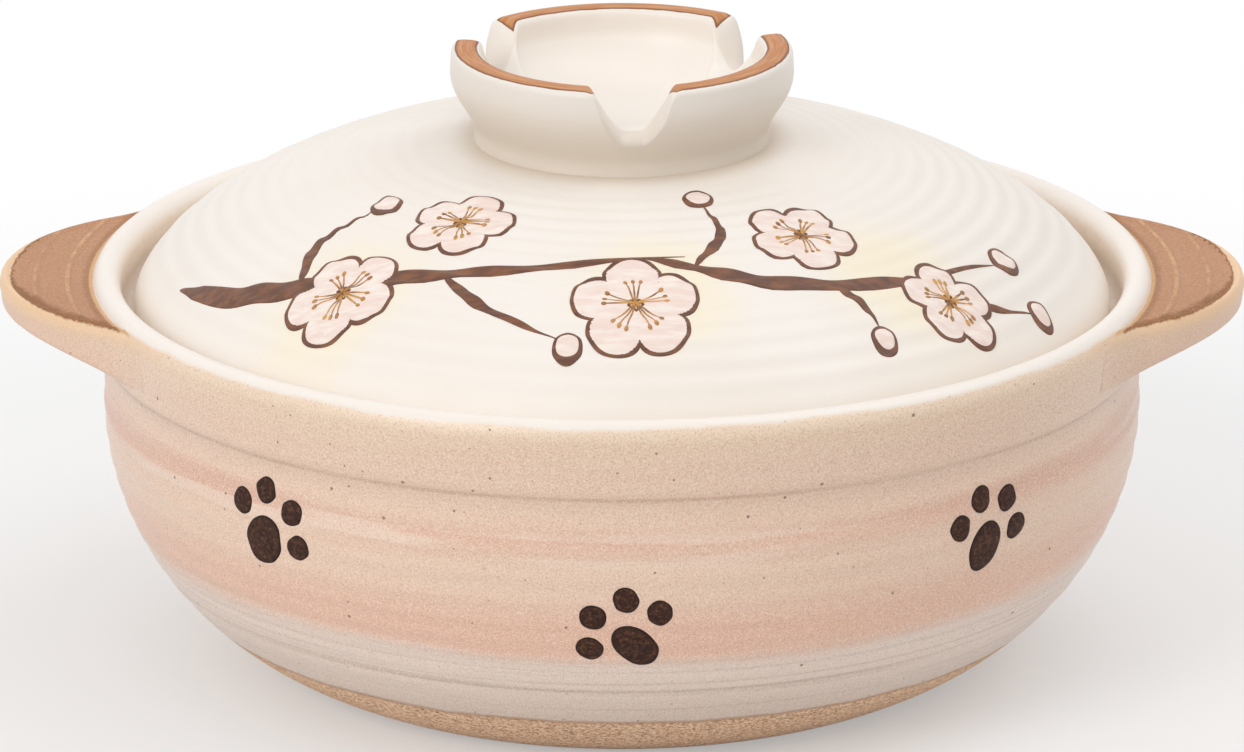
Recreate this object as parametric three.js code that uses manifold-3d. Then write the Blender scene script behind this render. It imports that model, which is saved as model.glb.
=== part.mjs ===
// A lidded stoneware hotpot: a round bowl with two lug handles on its rim band, and a
// domed lid that drops into a gallery inside the rim and lifts off by a notched ring knob.
// Millimetres, +Z up. The origin is the middle of the foot, on the table. Lugs lie along X.
import * as THREE from 'three';
import { mergeVertices } from 'three/addons/utils/BufferGeometryUtils.js';
import Module from 'manifold-3d';

const wasm = await Module();
wasm.setup();

// Bowl, outside
const RIM_RADIUS = 122;
const RIM_HEIGHT = 92;
const LIP_WIDTH = 6.6;
const LIP_ROUND = 4;
const BAND_HEIGHT = 17.4;
const BAND_TAPER = 1.2;
const CREASE_DEPTH = 2.2;
const CREASE_ROUND = 3;
const BULGE_INSET = 2.5;
const BULGE_DROP = 13.1;
const FOOT_RADIUS = 75.5;
const FOOT_CUT = 4.5;

// Bowl, underneath and inside
const FOOT_RING_WIDTH = 17;
const RECESS_DEPTH = 1.5;
const RECESS_SLOPE = 2.5;
const WALL_THICKNESS = 7;
const FLOOR_THICKNESS = 9;
const FLOOR_INSET = 7.5;
const GALLERY_DEPTH = 10.8;
const GALLERY_WIDTH = 11;
const GALLERY_FILLET = 2.6;
const GALLERY_NOSE = 2.2;
const GALLERY_COVE = 15;

// Lugs
const LUG_OVERHANG = 21.3;
const LUG_TIP_RADIUS = 50;
const LUG_FILLET = 28;
const LUG_BELOW_LIP = 2;
const LUG_TIP_THICKNESS = 7.4;
const LUG_ROOT_THICKNESS = 13.8;
const LUG_ARCH = 7.1;
const LUG_EDGE_ROUND = 2.6;
const LUG_BORDER = 2.8;
const LUG_DISH_DEPTH = 1.4;
const LUG_RIDGE_HEIGHT = 0.5;
const LUG_RIDGE_WIDTH = 1.6;
const LUG_RIDGE_START = 5.6;
const LUG_RIDGE_SPACING = 7.4;

// Lid
const LID_PLAY = 3;
const LID_EDGE_ROUND = 2.5;
const LID_SEAT_WIDTH = 7;
const LID_RISE = 40;
const LID_THICKNESS = 6;
const LID_CROWN_POWER = 2.2;
const LID_SHOULDER_POWER = 1.6;
const STEAM_HOLE_DIAMETER = 8;
const STEAM_HOLE_FROM_AXIS = 66;

// Knob
const KNOB_SEAT_RADIUS = 36;
const KNOB_FOOT_FLARE = 2.2;
const KNOB_WAIST_HEIGHT = 2.8;
const KNOB_RADIUS = 39.3;
const KNOB_HEIGHT = 21;
const KNOB_RIM_WIDTH = 6.6;
const KNOB_RIM_ROUND = 3.6;
const KNOB_RIM_LEAN = 0.6;
const KNOB_BELLY_DROP = 3.1;
const KNOB_FLOOR_THICKNESS = 6.2;
const KNOB_FLOOR_RADIUS = 17;
const NOTCH_COUNT = 3;
const NOTCH_DEPTH = 12;
const NOTCH_ROUND = 5;
const NOTCH_FLARE = 25;
const NOTCH_TURN = -86;

// Finishes
const BEIGE_GLAZE = { color: 0xe6cab6, roughness: 0.5, metalness: 0 };
const BROWN_SLIP = { color: 0xc19279, roughness: 0.7, metalness: 0 };
const CREAM_GLAZE = { color: 0xf5ebe1, roughness: 0.45, metalness: 0 };

// Fits and facets
const CLEARANCE = 0.3;
const CUT_SPARE = 8;
const TURNS = 48;
const SWEEP_STEPS = 12;
const LIP_STEPS = 8;
const ROUND_STEPS = 3;
const HOLE_SIDES = 16;
const WELD_DISTANCE = 1e-4;

// Places that follow from the sizes above
const lipCentre = new THREE.Vector2(RIM_RADIUS - LIP_WIDTH / 2, RIM_HEIGHT - LIP_ROUND);
const innerRadius = RIM_RADIUS - LIP_WIDTH;
const creaseHeight = RIM_HEIGHT - BAND_HEIGHT;
const bandFootRadius = RIM_RADIUS - BAND_TAPER;
const bandFootHeight = creaseHeight + CREASE_ROUND;
const galleryHeight = RIM_HEIGHT - GALLERY_DEPTH;
const galleryRadius = innerRadius - GALLERY_WIDTH;
const bulgeRadius = RIM_RADIUS - BULGE_INSET;
const bulgeHeight = creaseHeight - BULGE_DROP;
const wallDrop = bulgeHeight + FOOT_CUT;
const wallLean = Math.sqrt(1 - (bulgeHeight / wallDrop) ** 2);
const wallSweep = (bulgeRadius - FOOT_RADIUS) / (1 - wallLean);
const wallCentre = new THREE.Vector2(bulgeRadius - wallSweep, bulgeHeight);
const lugReach = RIM_RADIUS + LUG_OVERHANG;
const lugTop = RIM_HEIGHT - LUG_BELOW_LIP;
const lidRadius = innerRadius - LID_PLAY;
const lidSeat = galleryHeight + CLEARANCE;
const lidEdgeHeight = lidSeat + LID_EDGE_ROUND;
const knobSeat = lidEdgeHeight + domeRise(KNOB_SEAT_RADIUS, lidRadius, LID_RISE);
const knobFoot = knobSeat + CLEARANCE;
const knobTop = knobFoot + KNOB_HEIGHT;

function point(radius, height) {
  return new THREE.Vector2(radius, height);
}

function radians(angle) {
  return THREE.MathUtils.degToRad(angle);
}

function degrees(angle) {
  return THREE.MathUtils.radToDeg(angle);
}

// Points on an elliptical arc of a profile, from one angle to another in degrees.
function arc(centre, halfWidth, halfHeight, from, to, steps) {
  const clockwise = to < from;
  const curve = new THREE.EllipseCurve(
    centre.x, centre.y, halfWidth, halfHeight, radians(from), radians(to), clockwise);
  return curve.getPoints(steps);
}

// Height of a dome above its edge: a superellipse that is full at the shoulder.
function domeRise(radius, edgeRadius, rise) {
  const share = Math.min(1, radius / edgeRadius);
  return rise * (1 - share ** LID_CROWN_POWER) ** (1 / LID_SHOULDER_POWER);
}

// Points on a dome from a radius down to its edge, closer together near the steep edge.
function domePoints(from, edgeRadius, rise, edgeHeight) {
  const start = Math.asin(from / edgeRadius);
  const points = [];
  for (let step = 0; step <= SWEEP_STEPS; step += 1) {
    const turn = THREE.MathUtils.lerp(start, Math.PI / 2, step / SWEEP_STEPS);
    const radius = edgeRadius * Math.sin(turn);
    points.push(point(radius, edgeHeight + domeRise(radius, edgeRadius, rise)));
  }
  return points;
}

// A closed triangle mesh with its doubled points merged and its flat triangles dropped.
function closed(geometry) {
  geometry.deleteAttribute('normal');
  geometry.deleteAttribute('uv');
  const merged = mergeVertices(geometry, WELD_DISTANCE);
  const kept = [];
  const index = merged.index.array;
  for (let i = 0; i < index.length; i += 3) {
    const [a, b, c] = [index[i], index[i + 1], index[i + 2]];
    if (a !== b && b !== c && c !== a) {
      kept.push(a, b, c);
    }
  }
  merged.setIndex(kept);
  return merged;
}

function solid(geometry) {
  const mesh = closed(geometry);
  return new wasm.Manifold(new wasm.Mesh({
    numProp: 3,
    vertProperties: new Float32Array(mesh.attributes.position.array),
    triVerts: new Uint32Array(mesh.index.array),
  }));
}

function geometryOf(manifold) {
  const mesh = manifold.getMesh();
  const geometry = new THREE.BufferGeometry();
  geometry.setAttribute('position', new THREE.BufferAttribute(mesh.vertProperties, mesh.numProp));
  geometry.setIndex(new THREE.BufferAttribute(mesh.triVerts, 1));
  return geometry;
}

// A profile of radius and height turned about Z. The profile runs up the outside.
function turned(profile) {
  const geometry = new THREE.LatheGeometry(profile, TURNS);
  geometry.rotateX(Math.PI / 2);
  return geometry;
}

function piece(name, geometry, finish) {
  geometry.computeVertexNormals();
  const mesh = new THREE.Mesh(geometry, new THREE.MeshStandardMaterial(finish));
  mesh.name = name;
  return mesh;
}

// Bowl: foot, swelling wall, crease, rim band, rounded lip, gallery for the lid, inside
function makeBowl() {
  const wallStart = -degrees(Math.asin(bulgeHeight / wallDrop));
  const wallEnd = degrees(Math.asin((BULGE_DROP - CREASE_ROUND) / wallDrop));
  const creaseCentre = point(bandFootRadius - CREASE_DEPTH, bandFootHeight);
  const innerSweep = wallSweep - WALL_THICKNESS;
  const floorShare = (FOOT_RADIUS - FLOOR_INSET - wallCentre.x) / innerSweep;
  const innerDrop = (bulgeHeight - FLOOR_THICKNESS) / Math.sqrt(1 - floorShare ** 2);
  const innerEnd = -degrees(Math.acos(floorShare));
  const noseHeight = galleryHeight - GALLERY_NOSE;
  const innerStart = degrees(Math.asin((noseHeight - GALLERY_COVE - bulgeHeight) / innerDrop));
  const innerWall = arc(wallCentre, innerSweep, innerDrop, innerStart, innerEnd, SWEEP_STEPS);
  const cove = new THREE.QuadraticBezierCurve(
    point(galleryRadius, noseHeight),
    point(galleryRadius, noseHeight - GALLERY_COVE / 2),
    innerWall[0]);
  const ringInside = FOOT_RADIUS - FOOT_RING_WIDTH;
  const galleryCorner = point(innerRadius - GALLERY_FILLET, galleryHeight + GALLERY_FILLET);
  const noseCentre = point(galleryRadius + GALLERY_NOSE, noseHeight);

  const profile = [
    point(0, RECESS_DEPTH),
    point(ringInside - RECESS_SLOPE, RECESS_DEPTH),
    point(ringInside, 0),
    ...arc(wallCentre, wallSweep, wallDrop, wallStart, wallEnd, SWEEP_STEPS),
    ...arc(creaseCentre, CREASE_DEPTH, CREASE_ROUND, -90, 0, ROUND_STEPS),
    ...arc(lipCentre, LIP_WIDTH / 2, LIP_ROUND, 0, 180, LIP_STEPS),
    ...arc(galleryCorner, GALLERY_FILLET, GALLERY_FILLET, 0, -90, ROUND_STEPS),
    ...arc(noseCentre, GALLERY_NOSE, GALLERY_NOSE, 90, 180, ROUND_STEPS),
    ...cove.getPoints(ROUND_STEPS).slice(1),
    ...innerWall.slice(1),
    point(0, FLOOR_THICKNESS),
  ];
  return closed(turned(profile));
}

// Outline of a lug seen from above, for the lug on +X, drawn in by an inset: a round tip
// that flows into the rim circle through a hollow fillet on each side.
function lugOutline(inset) {
  const tipCentre = point(lugReach - LUG_TIP_RADIUS, 0);
  const toFillet = RIM_RADIUS + LUG_FILLET;
  const tipToFillet = LUG_TIP_RADIUS + LUG_FILLET;
  const cosine = (toFillet ** 2 + tipCentre.x ** 2 - tipToFillet ** 2) / (2 * toFillet * tipCentre.x);
  const sine = Math.sqrt(1 - cosine ** 2);
  const fillet = point(toFillet * cosine, toFillet * sine);
  const towardsAxis = degrees(Math.atan2(-sine, -cosine));
  const towardsTip = degrees(Math.atan2(-fillet.y, tipCentre.x - fillet.x));
  const tipRadius = LUG_TIP_RADIUS - inset;
  const filletRadius = LUG_FILLET + inset;
  const tip = arc(tipCentre, tipRadius, tipRadius, 0, towardsTip + 180, LIP_STEPS);
  const hollow = arc(fillet, filletRadius, filletRadius, towardsTip, towardsAxis, LIP_STEPS).slice(1);
  const root = point(innerRadius * cosine, innerRadius * sine);
  const half = [...tip, ...hollow, root];
  const mirrored = half.slice(1).reverse().map((corner) => point(corner.x, -corner.y));
  return new THREE.Shape([...half, ...mirrored]);
}

function lugBlank() {
  const height = LUG_ROOT_THICKNESS;
  const geometry = new THREE.ExtrudeGeometry(lugOutline(0), {
    depth: height - LUG_EDGE_ROUND,
    bevelEnabled: true,
    bevelThickness: LUG_EDGE_ROUND,
    bevelSize: LUG_EDGE_ROUND,
    bevelOffset: -LUG_EDGE_ROUND,
    bevelSegments: ROUND_STEPS,
  });
  geometry.translate(0, 0, lugTop - height);
  return solid(geometry);
}

// Ring that gives the lug its root against the band and its underside, thin at the tip.
function lugSection() {
  const underside = new THREE.QuadraticBezierCurve(
    point(bandFootRadius + CLEARANCE, lugTop - LUG_ROOT_THICKNESS),
    point(RIM_RADIUS + LUG_ARCH, lugTop - LUG_TIP_THICKNESS),
    point(lugReach + CUT_SPARE, lugTop - LUG_TIP_THICKNESS));
  const profile = [
    ...underside.getPoints(LIP_STEPS),
    point(lugReach + CUT_SPARE, lugTop + CUT_SPARE),
    point(RIM_RADIUS + CLEARANCE, lugTop + CUT_SPARE),
    point(RIM_RADIUS + CLEARANCE, lipCentre.y),
    point(bandFootRadius + CLEARANCE, bandFootHeight),
    point(bandFootRadius + CLEARANCE, lugTop - LUG_ROOT_THICKNESS),
  ];
  return solid(turned(profile));
}

// Shallow dish in the top of a lug, with low ridges that run round with the rim.
function lugDish() {
  const floor = lugTop - LUG_DISH_DEPTH;
  const profile = [point(innerRadius, floor)];
  const lastRidge = lugReach - LUG_BORDER - LUG_RIDGE_WIDTH;
  for (let ridge = RIM_RADIUS + LUG_RIDGE_START; ridge < lastRidge; ridge += LUG_RIDGE_SPACING) {
    profile.push(
      point(ridge - LUG_RIDGE_WIDTH / 2, floor),
      point(ridge, floor + LUG_RIDGE_HEIGHT),
      point(ridge + LUG_RIDGE_WIDTH / 2, floor));
  }
  profile.push(
    point(lugReach, floor),
    point(lugReach, lugTop + CUT_SPARE),
    point(innerRadius, lugTop + CUT_SPARE),
    point(innerRadius, floor));
  const inside = new THREE.ExtrudeGeometry(lugOutline(LUG_BORDER), {
    depth: LUG_DISH_DEPTH + CUT_SPARE,
    bevelEnabled: false,
  });
  inside.translate(0, 0, floor);
  return solid(turned(profile)).intersect(solid(inside));
}

function makeLug(turn) {
  const lug = lugBlank().intersect(lugSection()).subtract(lugDish());
  const geometry = geometryOf(lug);
  geometry.rotateZ(turn);
  return geometry;
}

// Lid: flat knob seat, dome, rounded edge, flat seat ring, hollow underside, steam hole
function makeLid() {
  const hollowRadius = lidRadius - LID_SEAT_WIDTH;
  const hollowRise = knobSeat - LID_THICKNESS - lidSeat;
  const edgeCentre = point(lidRadius - LID_EDGE_ROUND, lidEdgeHeight);
  const profile = [
    ...domePoints(0, hollowRadius, hollowRise, lidSeat),
    ...arc(edgeCentre, LID_EDGE_ROUND, LID_EDGE_ROUND, -90, 0, ROUND_STEPS),
    ...domePoints(KNOB_SEAT_RADIUS, lidRadius, LID_RISE, lidEdgeHeight).reverse().slice(1),
    point(0, knobSeat),
  ];
  const holeLength = LID_RISE + CUT_SPARE;
  const hole = new THREE.CylinderGeometry(
    STEAM_HOLE_DIAMETER / 2, STEAM_HOLE_DIAMETER / 2, holeLength, HOLE_SIDES);
  hole.rotateX(Math.PI / 2);
  hole.translate(0, STEAM_HOLE_FROM_AXIS, lidSeat + holeLength / 2);
  return geometryOf(solid(turned(profile)).subtract(solid(hole)));
}

// Outline of a knob notch: a round bottom with straight sides that flare up past the rim
function notchOutline() {
  const flare = radians(NOTCH_FLARE);
  const centreHeight = knobTop - NOTCH_DEPTH + NOTCH_ROUND;
  const sideX = NOTCH_ROUND * Math.cos(flare);
  const sideHeight = centreHeight - NOTCH_ROUND * Math.sin(flare);
  const topHeight = knobTop + CUT_SPARE;
  const topX = sideX + (topHeight - sideHeight) * Math.tan(flare);

  const shape = new THREE.Shape();
  shape.moveTo(topX, topHeight);
  shape.lineTo(-topX, topHeight);
  shape.absarc(0, centreHeight, NOTCH_ROUND, Math.PI + flare, -flare, false);
  return shape;
}

function notchCutter(turn) {
  const geometry = new THREE.ExtrudeGeometry(notchOutline(), {
    depth: KNOB_RADIUS + CUT_SPARE,
    curveSegments: SWEEP_STEPS,
    bevelEnabled: false,
  });
  // The outline's height turns up to Z and its depth runs outwards along +X.
  geometry.rotateX(Math.PI / 2);
  geometry.rotateZ(Math.PI / 2 + turn);
  return solid(geometry);
}

// Knob: a thrown cup on a waisted foot, its rim cut by notches into petals
function makeKnob() {
  const rimCentre = point(
    KNOB_RADIUS - KNOB_RIM_LEAN - KNOB_RIM_WIDTH / 2, knobTop - KNOB_RIM_ROUND);
  const waist = point(KNOB_SEAT_RADIUS - KNOB_FOOT_FLARE, knobFoot + KNOB_WAIST_HEIGHT);
  const widest = point(KNOB_RADIUS, rimCentre.y - KNOB_BELLY_DROP);
  const outside = new THREE.SplineCurve([
    point(KNOB_SEAT_RADIUS, knobFoot),
    waist,
    waist.clone().lerp(widest, 0.5),
    widest,
    point(rimCentre.x + KNOB_RIM_WIDTH / 2, rimCentre.y),
  ]);
  const cupFloor = knobFoot + KNOB_FLOOR_THICKNESS;
  const cup = new THREE.CubicBezierCurve(
    point(rimCentre.x - KNOB_RIM_WIDTH / 2, rimCentre.y),
    point(rimCentre.x - KNOB_RIM_WIDTH / 2, (rimCentre.y + cupFloor) / 2),
    point(rimCentre.x - KNOB_RIM_WIDTH, cupFloor),
    point(KNOB_FLOOR_RADIUS, cupFloor));
  const profile = [
    point(0, knobFoot),
    ...outside.getPoints(SWEEP_STEPS),
    ...arc(rimCentre, KNOB_RIM_WIDTH / 2, KNOB_RIM_ROUND, 0, 180, LIP_STEPS).slice(1),
    ...cup.getPoints(LIP_STEPS).slice(1),
    point(0, cupFloor),
  ];
  let knob = solid(turned(profile));
  for (let notch = 0; notch < NOTCH_COUNT; notch += 1) {
    const turn = radians(NOTCH_TURN + 360 * notch / NOTCH_COUNT);
    knob = knob.subtract(notchCutter(turn));
  }
  return geometryOf(knob);
}

const pot = new THREE.Group();
pot.add(
  piece('pot_bowl', makeBowl(), BEIGE_GLAZE),
  piece('right_lug', makeLug(0), BROWN_SLIP),
  piece('left_lug', makeLug(Math.PI), BROWN_SLIP));

const lid = new THREE.Group();
lid.add(
  piece('lid_dome', makeLid(), CREAM_GLAZE),
  piece('lid_knob', makeKnob(), CREAM_GLAZE));

const hotpot = new THREE.Group();
hotpot.add(pot, lid);

export default hotpot;
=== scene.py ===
# %% [markdown]
# # A lidded clay pot
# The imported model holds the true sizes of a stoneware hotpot: a thrown bowl with two lug handles, and a lid
# with a notched knob. This lesson gives each of those five pieces the surface that a potter and a kiln
# would leave, then paints, lights and photographs the pot. The model is the ruler for all of it, so it
# loads first.

# %% Load the model and keep its box
import math

import bmesh
import bpy
from mathutils import Matrix, Vector, noise


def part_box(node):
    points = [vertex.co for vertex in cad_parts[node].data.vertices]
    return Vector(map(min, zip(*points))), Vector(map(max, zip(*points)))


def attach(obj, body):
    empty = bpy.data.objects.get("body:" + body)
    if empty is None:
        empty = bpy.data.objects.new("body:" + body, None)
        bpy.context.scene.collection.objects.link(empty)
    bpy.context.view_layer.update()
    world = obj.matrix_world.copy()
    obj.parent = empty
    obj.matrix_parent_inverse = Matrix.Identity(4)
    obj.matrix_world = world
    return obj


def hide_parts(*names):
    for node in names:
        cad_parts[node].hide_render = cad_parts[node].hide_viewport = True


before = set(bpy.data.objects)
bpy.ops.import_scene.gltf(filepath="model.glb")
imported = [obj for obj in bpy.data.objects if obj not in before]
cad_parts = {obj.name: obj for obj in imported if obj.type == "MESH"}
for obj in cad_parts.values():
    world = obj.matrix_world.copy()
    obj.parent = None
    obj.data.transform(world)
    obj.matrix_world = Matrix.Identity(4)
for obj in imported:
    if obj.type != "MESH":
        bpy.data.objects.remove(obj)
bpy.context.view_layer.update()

# %% [markdown]
# ## Sizes
# A potter thinks in millimetres and Blender in metres. Every shape below is drawn in millimetres, and only
# the finished mesh is scaled to metres. The outer sizes are read from the model, so they can't drift from
# it. What the model doesn't name, such as the width of the lip, is written down beside the piece that needs
# it.

# %% Outer sizes, in millimetres
MM = 0.001
bowl_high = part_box("pot_bowl")[1] / MM
lug_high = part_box("right_lug")[1] / MM
lid_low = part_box("lid_dome")[0] / MM
lid_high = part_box("lid_dome")[1] / MM
knob_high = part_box("lid_knob")[1] / MM

rim_radius = bowl_high.y
rim_height = bowl_high.z
lug_reach = lug_high.x
lug_top = lug_high.z
lid_radius = lid_high.y
lid_seat = lid_low.z
knob_seat = lid_high.z
print(f"rim {rim_radius:.1f} by {rim_height:.1f}, lugs reach {lug_reach:.1f}, lid {lid_radius:.1f} mm")

# %% [markdown]
# ## The wheel
# Nearly everything here is thrown on a wheel, so one helper does what the wheel does: it takes a profile of
# radius and height and spins it about the upright axis. Spinning an eighth of a turn and doubling it three
# times is quicker than one full spin. Each point remembers its row in the profile, because later steps move
# rows.

# %% Profile arcs and the wheel
WELD = 1e-4
DOUBLINGS = 3
WHEEL_COLUMNS = 256


def lerp(start, end, share):
    """The value that lies a share of the way from start to end."""
    return start + (end - start) * share


def ease(low, high, value):
    """Rises smoothly from 0 at low to 1 at high."""
    share = min(1.0, max(0.0, (value - low) / (high - low)))
    return share * share * (3 - 2 * share)


def arc(centre, half_width, half_height, start, end, steps):
    """Points on an upright ellipse, from one angle to another in degrees."""
    points = []
    for step in range(steps + 1):
        turn = math.radians(lerp(start, end, step / steps))
        points.append((centre[0] + half_width * math.cos(turn), centre[1] + half_height * math.sin(turn)))
    return points


def throw(profile, columns):
    """Spins a profile of (radius, height) once round the upright axis."""
    mesh = bmesh.new()
    row_layer = mesh.verts.layers.int.new("row")
    line = [mesh.verts.new((radius, 0, height)) for radius, height in profile]
    for row, vert in enumerate(line):
        vert[row_layer] = row
    line += [mesh.edges.new(pair) for pair in zip(line, line[1:])]
    wedges = 2 ** DOUBLINGS
    wedge = math.tau / wedges
    bmesh.ops.spin(mesh, geom=line, axis=(0, 0, 1), cent=(0, 0, 0), angle=wedge, steps=columns // wedges)
    for doubling in range(DOUBLINGS):
        everything = mesh.verts[:] + mesh.edges[:] + mesh.faces[:]
        copy = bmesh.ops.duplicate(mesh, geom=everything)["geom"]
        moved = [item for item in copy if isinstance(item, bmesh.types.BMVert)]
        turn = Matrix.Rotation(wedge * 2 ** doubling, 3, "Z")
        bmesh.ops.rotate(mesh, verts=moved, cent=(0, 0, 0), matrix=turn)
    bmesh.ops.remove_doubles(mesh, verts=mesh.verts[:], dist=WELD)
    bmesh.ops.recalc_face_normals(mesh, faces=mesh.faces[:])
    return mesh


print("a quarter round in 8 steps has", len(arc((0, 0), 1, 1, 0, 90, 8)), "points")

# %% From a mesh to a finished piece
def into_scene(name, mesh):
    """Scales a mesh drawn in millimetres to metres and puts it in the scene as an object."""
    bmesh.ops.scale(mesh, vec=(MM, MM, MM), verts=mesh.verts[:])
    data = bpy.data.meshes.new(name)
    mesh.to_mesh(data)
    mesh.free()
    made = bpy.data.objects.new(name, data)
    bpy.context.collection.objects.link(made)
    return made


def piece(name, mesh, body, finish, node=None):
    """Makes a finished object that rides on a body, in place of a node of the model if one is given."""
    made = into_scene(name, mesh)
    made.data.shade_smooth()
    made.data.materials.append(finish)
    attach(made, body)
    if node:
        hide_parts(node)
    print(f"{name}: {len(made.data.polygons)} faces, rides on {body}")
    return made


# %% [markdown]
# ## Writing a glaze as a formula
# A glaze is a sum of simple things: colour by height, streaks, grain, specks. In the shader editor each sum
# is a Math node, which soon fills the screen. The small class below wraps a socket, so that `streak * 0.3 +
# grain` adds those nodes by itself. `Finish` holds one material, and its `node` method makes any other
# node.

# %% Sockets that take part in sums
MIX_FACTOR, MIX_FIRST, MIX_SECOND, MIX_COLOUR = 0, 6, 7, 2


class Wire:
    """A socket that can be added, multiplied and compared like a number."""

    def __init__(self, finish, socket):
        self.finish = finish
        self.socket = socket

    def maths(self, operation, first, second):
        return self.finish.node("ShaderNodeMath", {"operation": operation}, {0: first, 1: second})

    def __add__(self, other):
        return self.maths("ADD", self, other)

    def __radd__(self, other):
        return self.maths("ADD", other, self)

    def __sub__(self, other):
        return self.maths("SUBTRACT", self, other)

    def __rsub__(self, other):
        return self.maths("SUBTRACT", other, self)

    def __mul__(self, other):
        return self.maths("MULTIPLY", self, other)

    def __rmul__(self, other):
        return self.maths("MULTIPLY", other, self)

    def __truediv__(self, other):
        return self.maths("DIVIDE", self, other)

    def __pow__(self, other):
        return self.maths("POWER", self, other)

    def least(self, other):
        return self.maths("MINIMUM", self, other)

    def most(self, other):
        return self.maths("MAXIMUM", self, other)

    def ease(self, low, high):
        """Rises smoothly from 0 at low to 1 at high."""
        settings = {"interpolation_type": "SMOOTHSTEP"}
        return self.finish.node("ShaderNodeMapRange", settings, {"Value": self, 1: low, 2: high})

    def near(self, core, fade):
        """1 where the value lies within core of 0, and 0 where it is further away than fade."""
        return 1 - (self * self).ease(core * core, fade * fade)

    def also(self, output):
        """Another output of the same node."""
        return Wire(self.finish, self.socket.node.outputs[output])


# %% A tree of nodes
class Nodes:
    """An emptied node tree, with the one method that adds nodes to it."""

    def __init__(self, tree):
        self.tree = tree
        self.tree.nodes.clear()

    def node(self, kind, settings=None, sockets=None, output=0):
        """Adds a node: its settings first, then the values or links of its sockets."""
        made = self.tree.nodes.new(kind)
        for name, value in (settings or {}).items():
            if name == "stops":
                self.set_stops(made.color_ramp, value)
            else:
                setattr(made, name, value)
        for key, value in (sockets or {}).items():
            if isinstance(value, Wire):
                self.tree.links.new(value.socket, made.inputs[key])
            else:
                made.inputs[key].default_value = value
        return Wire(self, made.outputs[output]) if made.outputs else None

    def set_stops(self, ramp, stops):
        while len(ramp.elements) < len(stops):
            ramp.elements.new(1.0)
        for element, (position, colour) in zip(ramp.elements, stops):
            element.position = position
            element.color = colour

    def seen(self):
        """1 where the camera looks, also in a gloss or through glass, and 0 for light on its way."""
        path = self.node("ShaderNodeLightPath", {}, {}, "Is Camera Ray")
        return (path + path.also("Is Glossy Ray") + path.also("Is Transmission Ray")).least(1.0)


# %% A material and its usual nodes
SPECK_EDGE = 0.25


class Finish(Nodes):
    """One material, read in millimetres of the pot's own frame."""

    def __init__(self, name):
        self.material = bpy.data.materials.new(name)
        self.material.use_nodes = True
        super().__init__(self.material.node_tree)
        metres = self.node("ShaderNodeTexCoord", output="Object")
        self.place = self.vector("SCALE", metres, "Scale", 1 / MM)
        apart = self.node("ShaderNodeSeparateXYZ", {}, {0: self.place}, "X")
        self.x, self.y, self.z = apart, apart.also("Y"), apart.also("Z")
        self.radius = (self.x * self.x + self.y * self.y) ** 0.5

    def to_side(self):
        """0 straight in front of the axis and behind it, 1 at the middle of a lug."""
        return (self.x * self.x) ** 0.5 / self.radius

    def vector(self, operation, first, key, second):
        return self.node("ShaderNodeVectorMath", {"operation": operation}, {0: first, key: second})

    def attribute(self, name):
        return self.node("ShaderNodeAttribute", {"attribute_name": name}, {}, "Fac")

    def noise(self, per_mm, detail=2.0, roughness=0.5):
        """Soft noise with so many waves to the millimetre along x, y and z."""
        stretched = self.vector("MULTIPLY", self.place, 1, per_mm)
        sockets = {"Vector": stretched, "Scale": 1.0, "Detail": detail, "Roughness": roughness}
        return self.node("ShaderNodeTexNoise", {}, sockets, 0)

    def grain(self, per_mm, detail=2.0, roughness=0.5):
        return self.noise((per_mm, per_mm, per_mm), detail, roughness)

    def turned_streaks(self, per_mm, along):
        """Noise drawn out round the axis, as a brush on a turning wheel leaves it."""
        return self.drawn_out(self.radius * per_mm, self.x * along, self.y * along)

    def drawn_out(self, across, first, second):
        """Noise read at three numbers, so that it can follow any of them."""
        place = self.node("ShaderNodeCombineXYZ", {}, {"X": across, "Y": first, "Z": second})
        return self.node("ShaderNodeTexNoise", {}, {"Vector": place, "Scale": 1.0, "Detail": 3.0}, 0)

    def specks(self, spacing, size, share):
        """1 inside small round specks: about one to a spacing, only a share of them, of mixed sizes."""
        sockets = {"Vector": self.place, "Scale": 1 / spacing, "Randomness": 1.0}
        cells = self.node("ShaderNodeTexVoronoi", {}, sockets, "Distance")
        chance = self.node("ShaderNodeSeparateColor", {}, {0: cells.also("Color")}, "Red")
        radius = (chance - (1 - share)) * (size / share)
        return (radius - cells * spacing).ease(0.0, SPECK_EDGE * size)

    def mix(self, factor, first, second):
        sockets = {MIX_FACTOR: factor, MIX_FIRST: first, MIX_SECOND: second}
        settings = {"data_type": "RGBA"}
        return self.node("ShaderNodeMix", settings, sockets, MIX_COLOUR)

    def shade(self, colour, roughness, relief, depth, gloss=0.5):
        """Closes the material: relief runs from 0 to 1 over a depth in millimetres."""
        bump = self.node("ShaderNodeBump", {}, {"Distance": depth * MM, "Height": relief})
        sockets = {"Base Color": colour, "Roughness": roughness, "Specular IOR Level": gloss, "Normal": bump}
        surface = self.node("ShaderNodeBsdfPrincipled", {}, sockets)
        self.node("ShaderNodeOutputMaterial", {}, {"Surface": surface})
        print(f"finish {self.material.name}: {len(self.tree.nodes)} nodes")
        return self.material


def paint(red, green, blue):
    """A colour as a paint chart gives it, 0 to 255, made linear for the shader."""
    linear = []
    for part in (red, green, blue):
        share = part / 255
        linear.append(share / 12.92 if share <= 0.04045 else ((share + 0.055) / 1.055) ** 2.4)
    return (*linear, 1.0)


print(f"a middle grey of 128 is {paint(128, 128, 128)[0]:.3f} in the shader")

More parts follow.
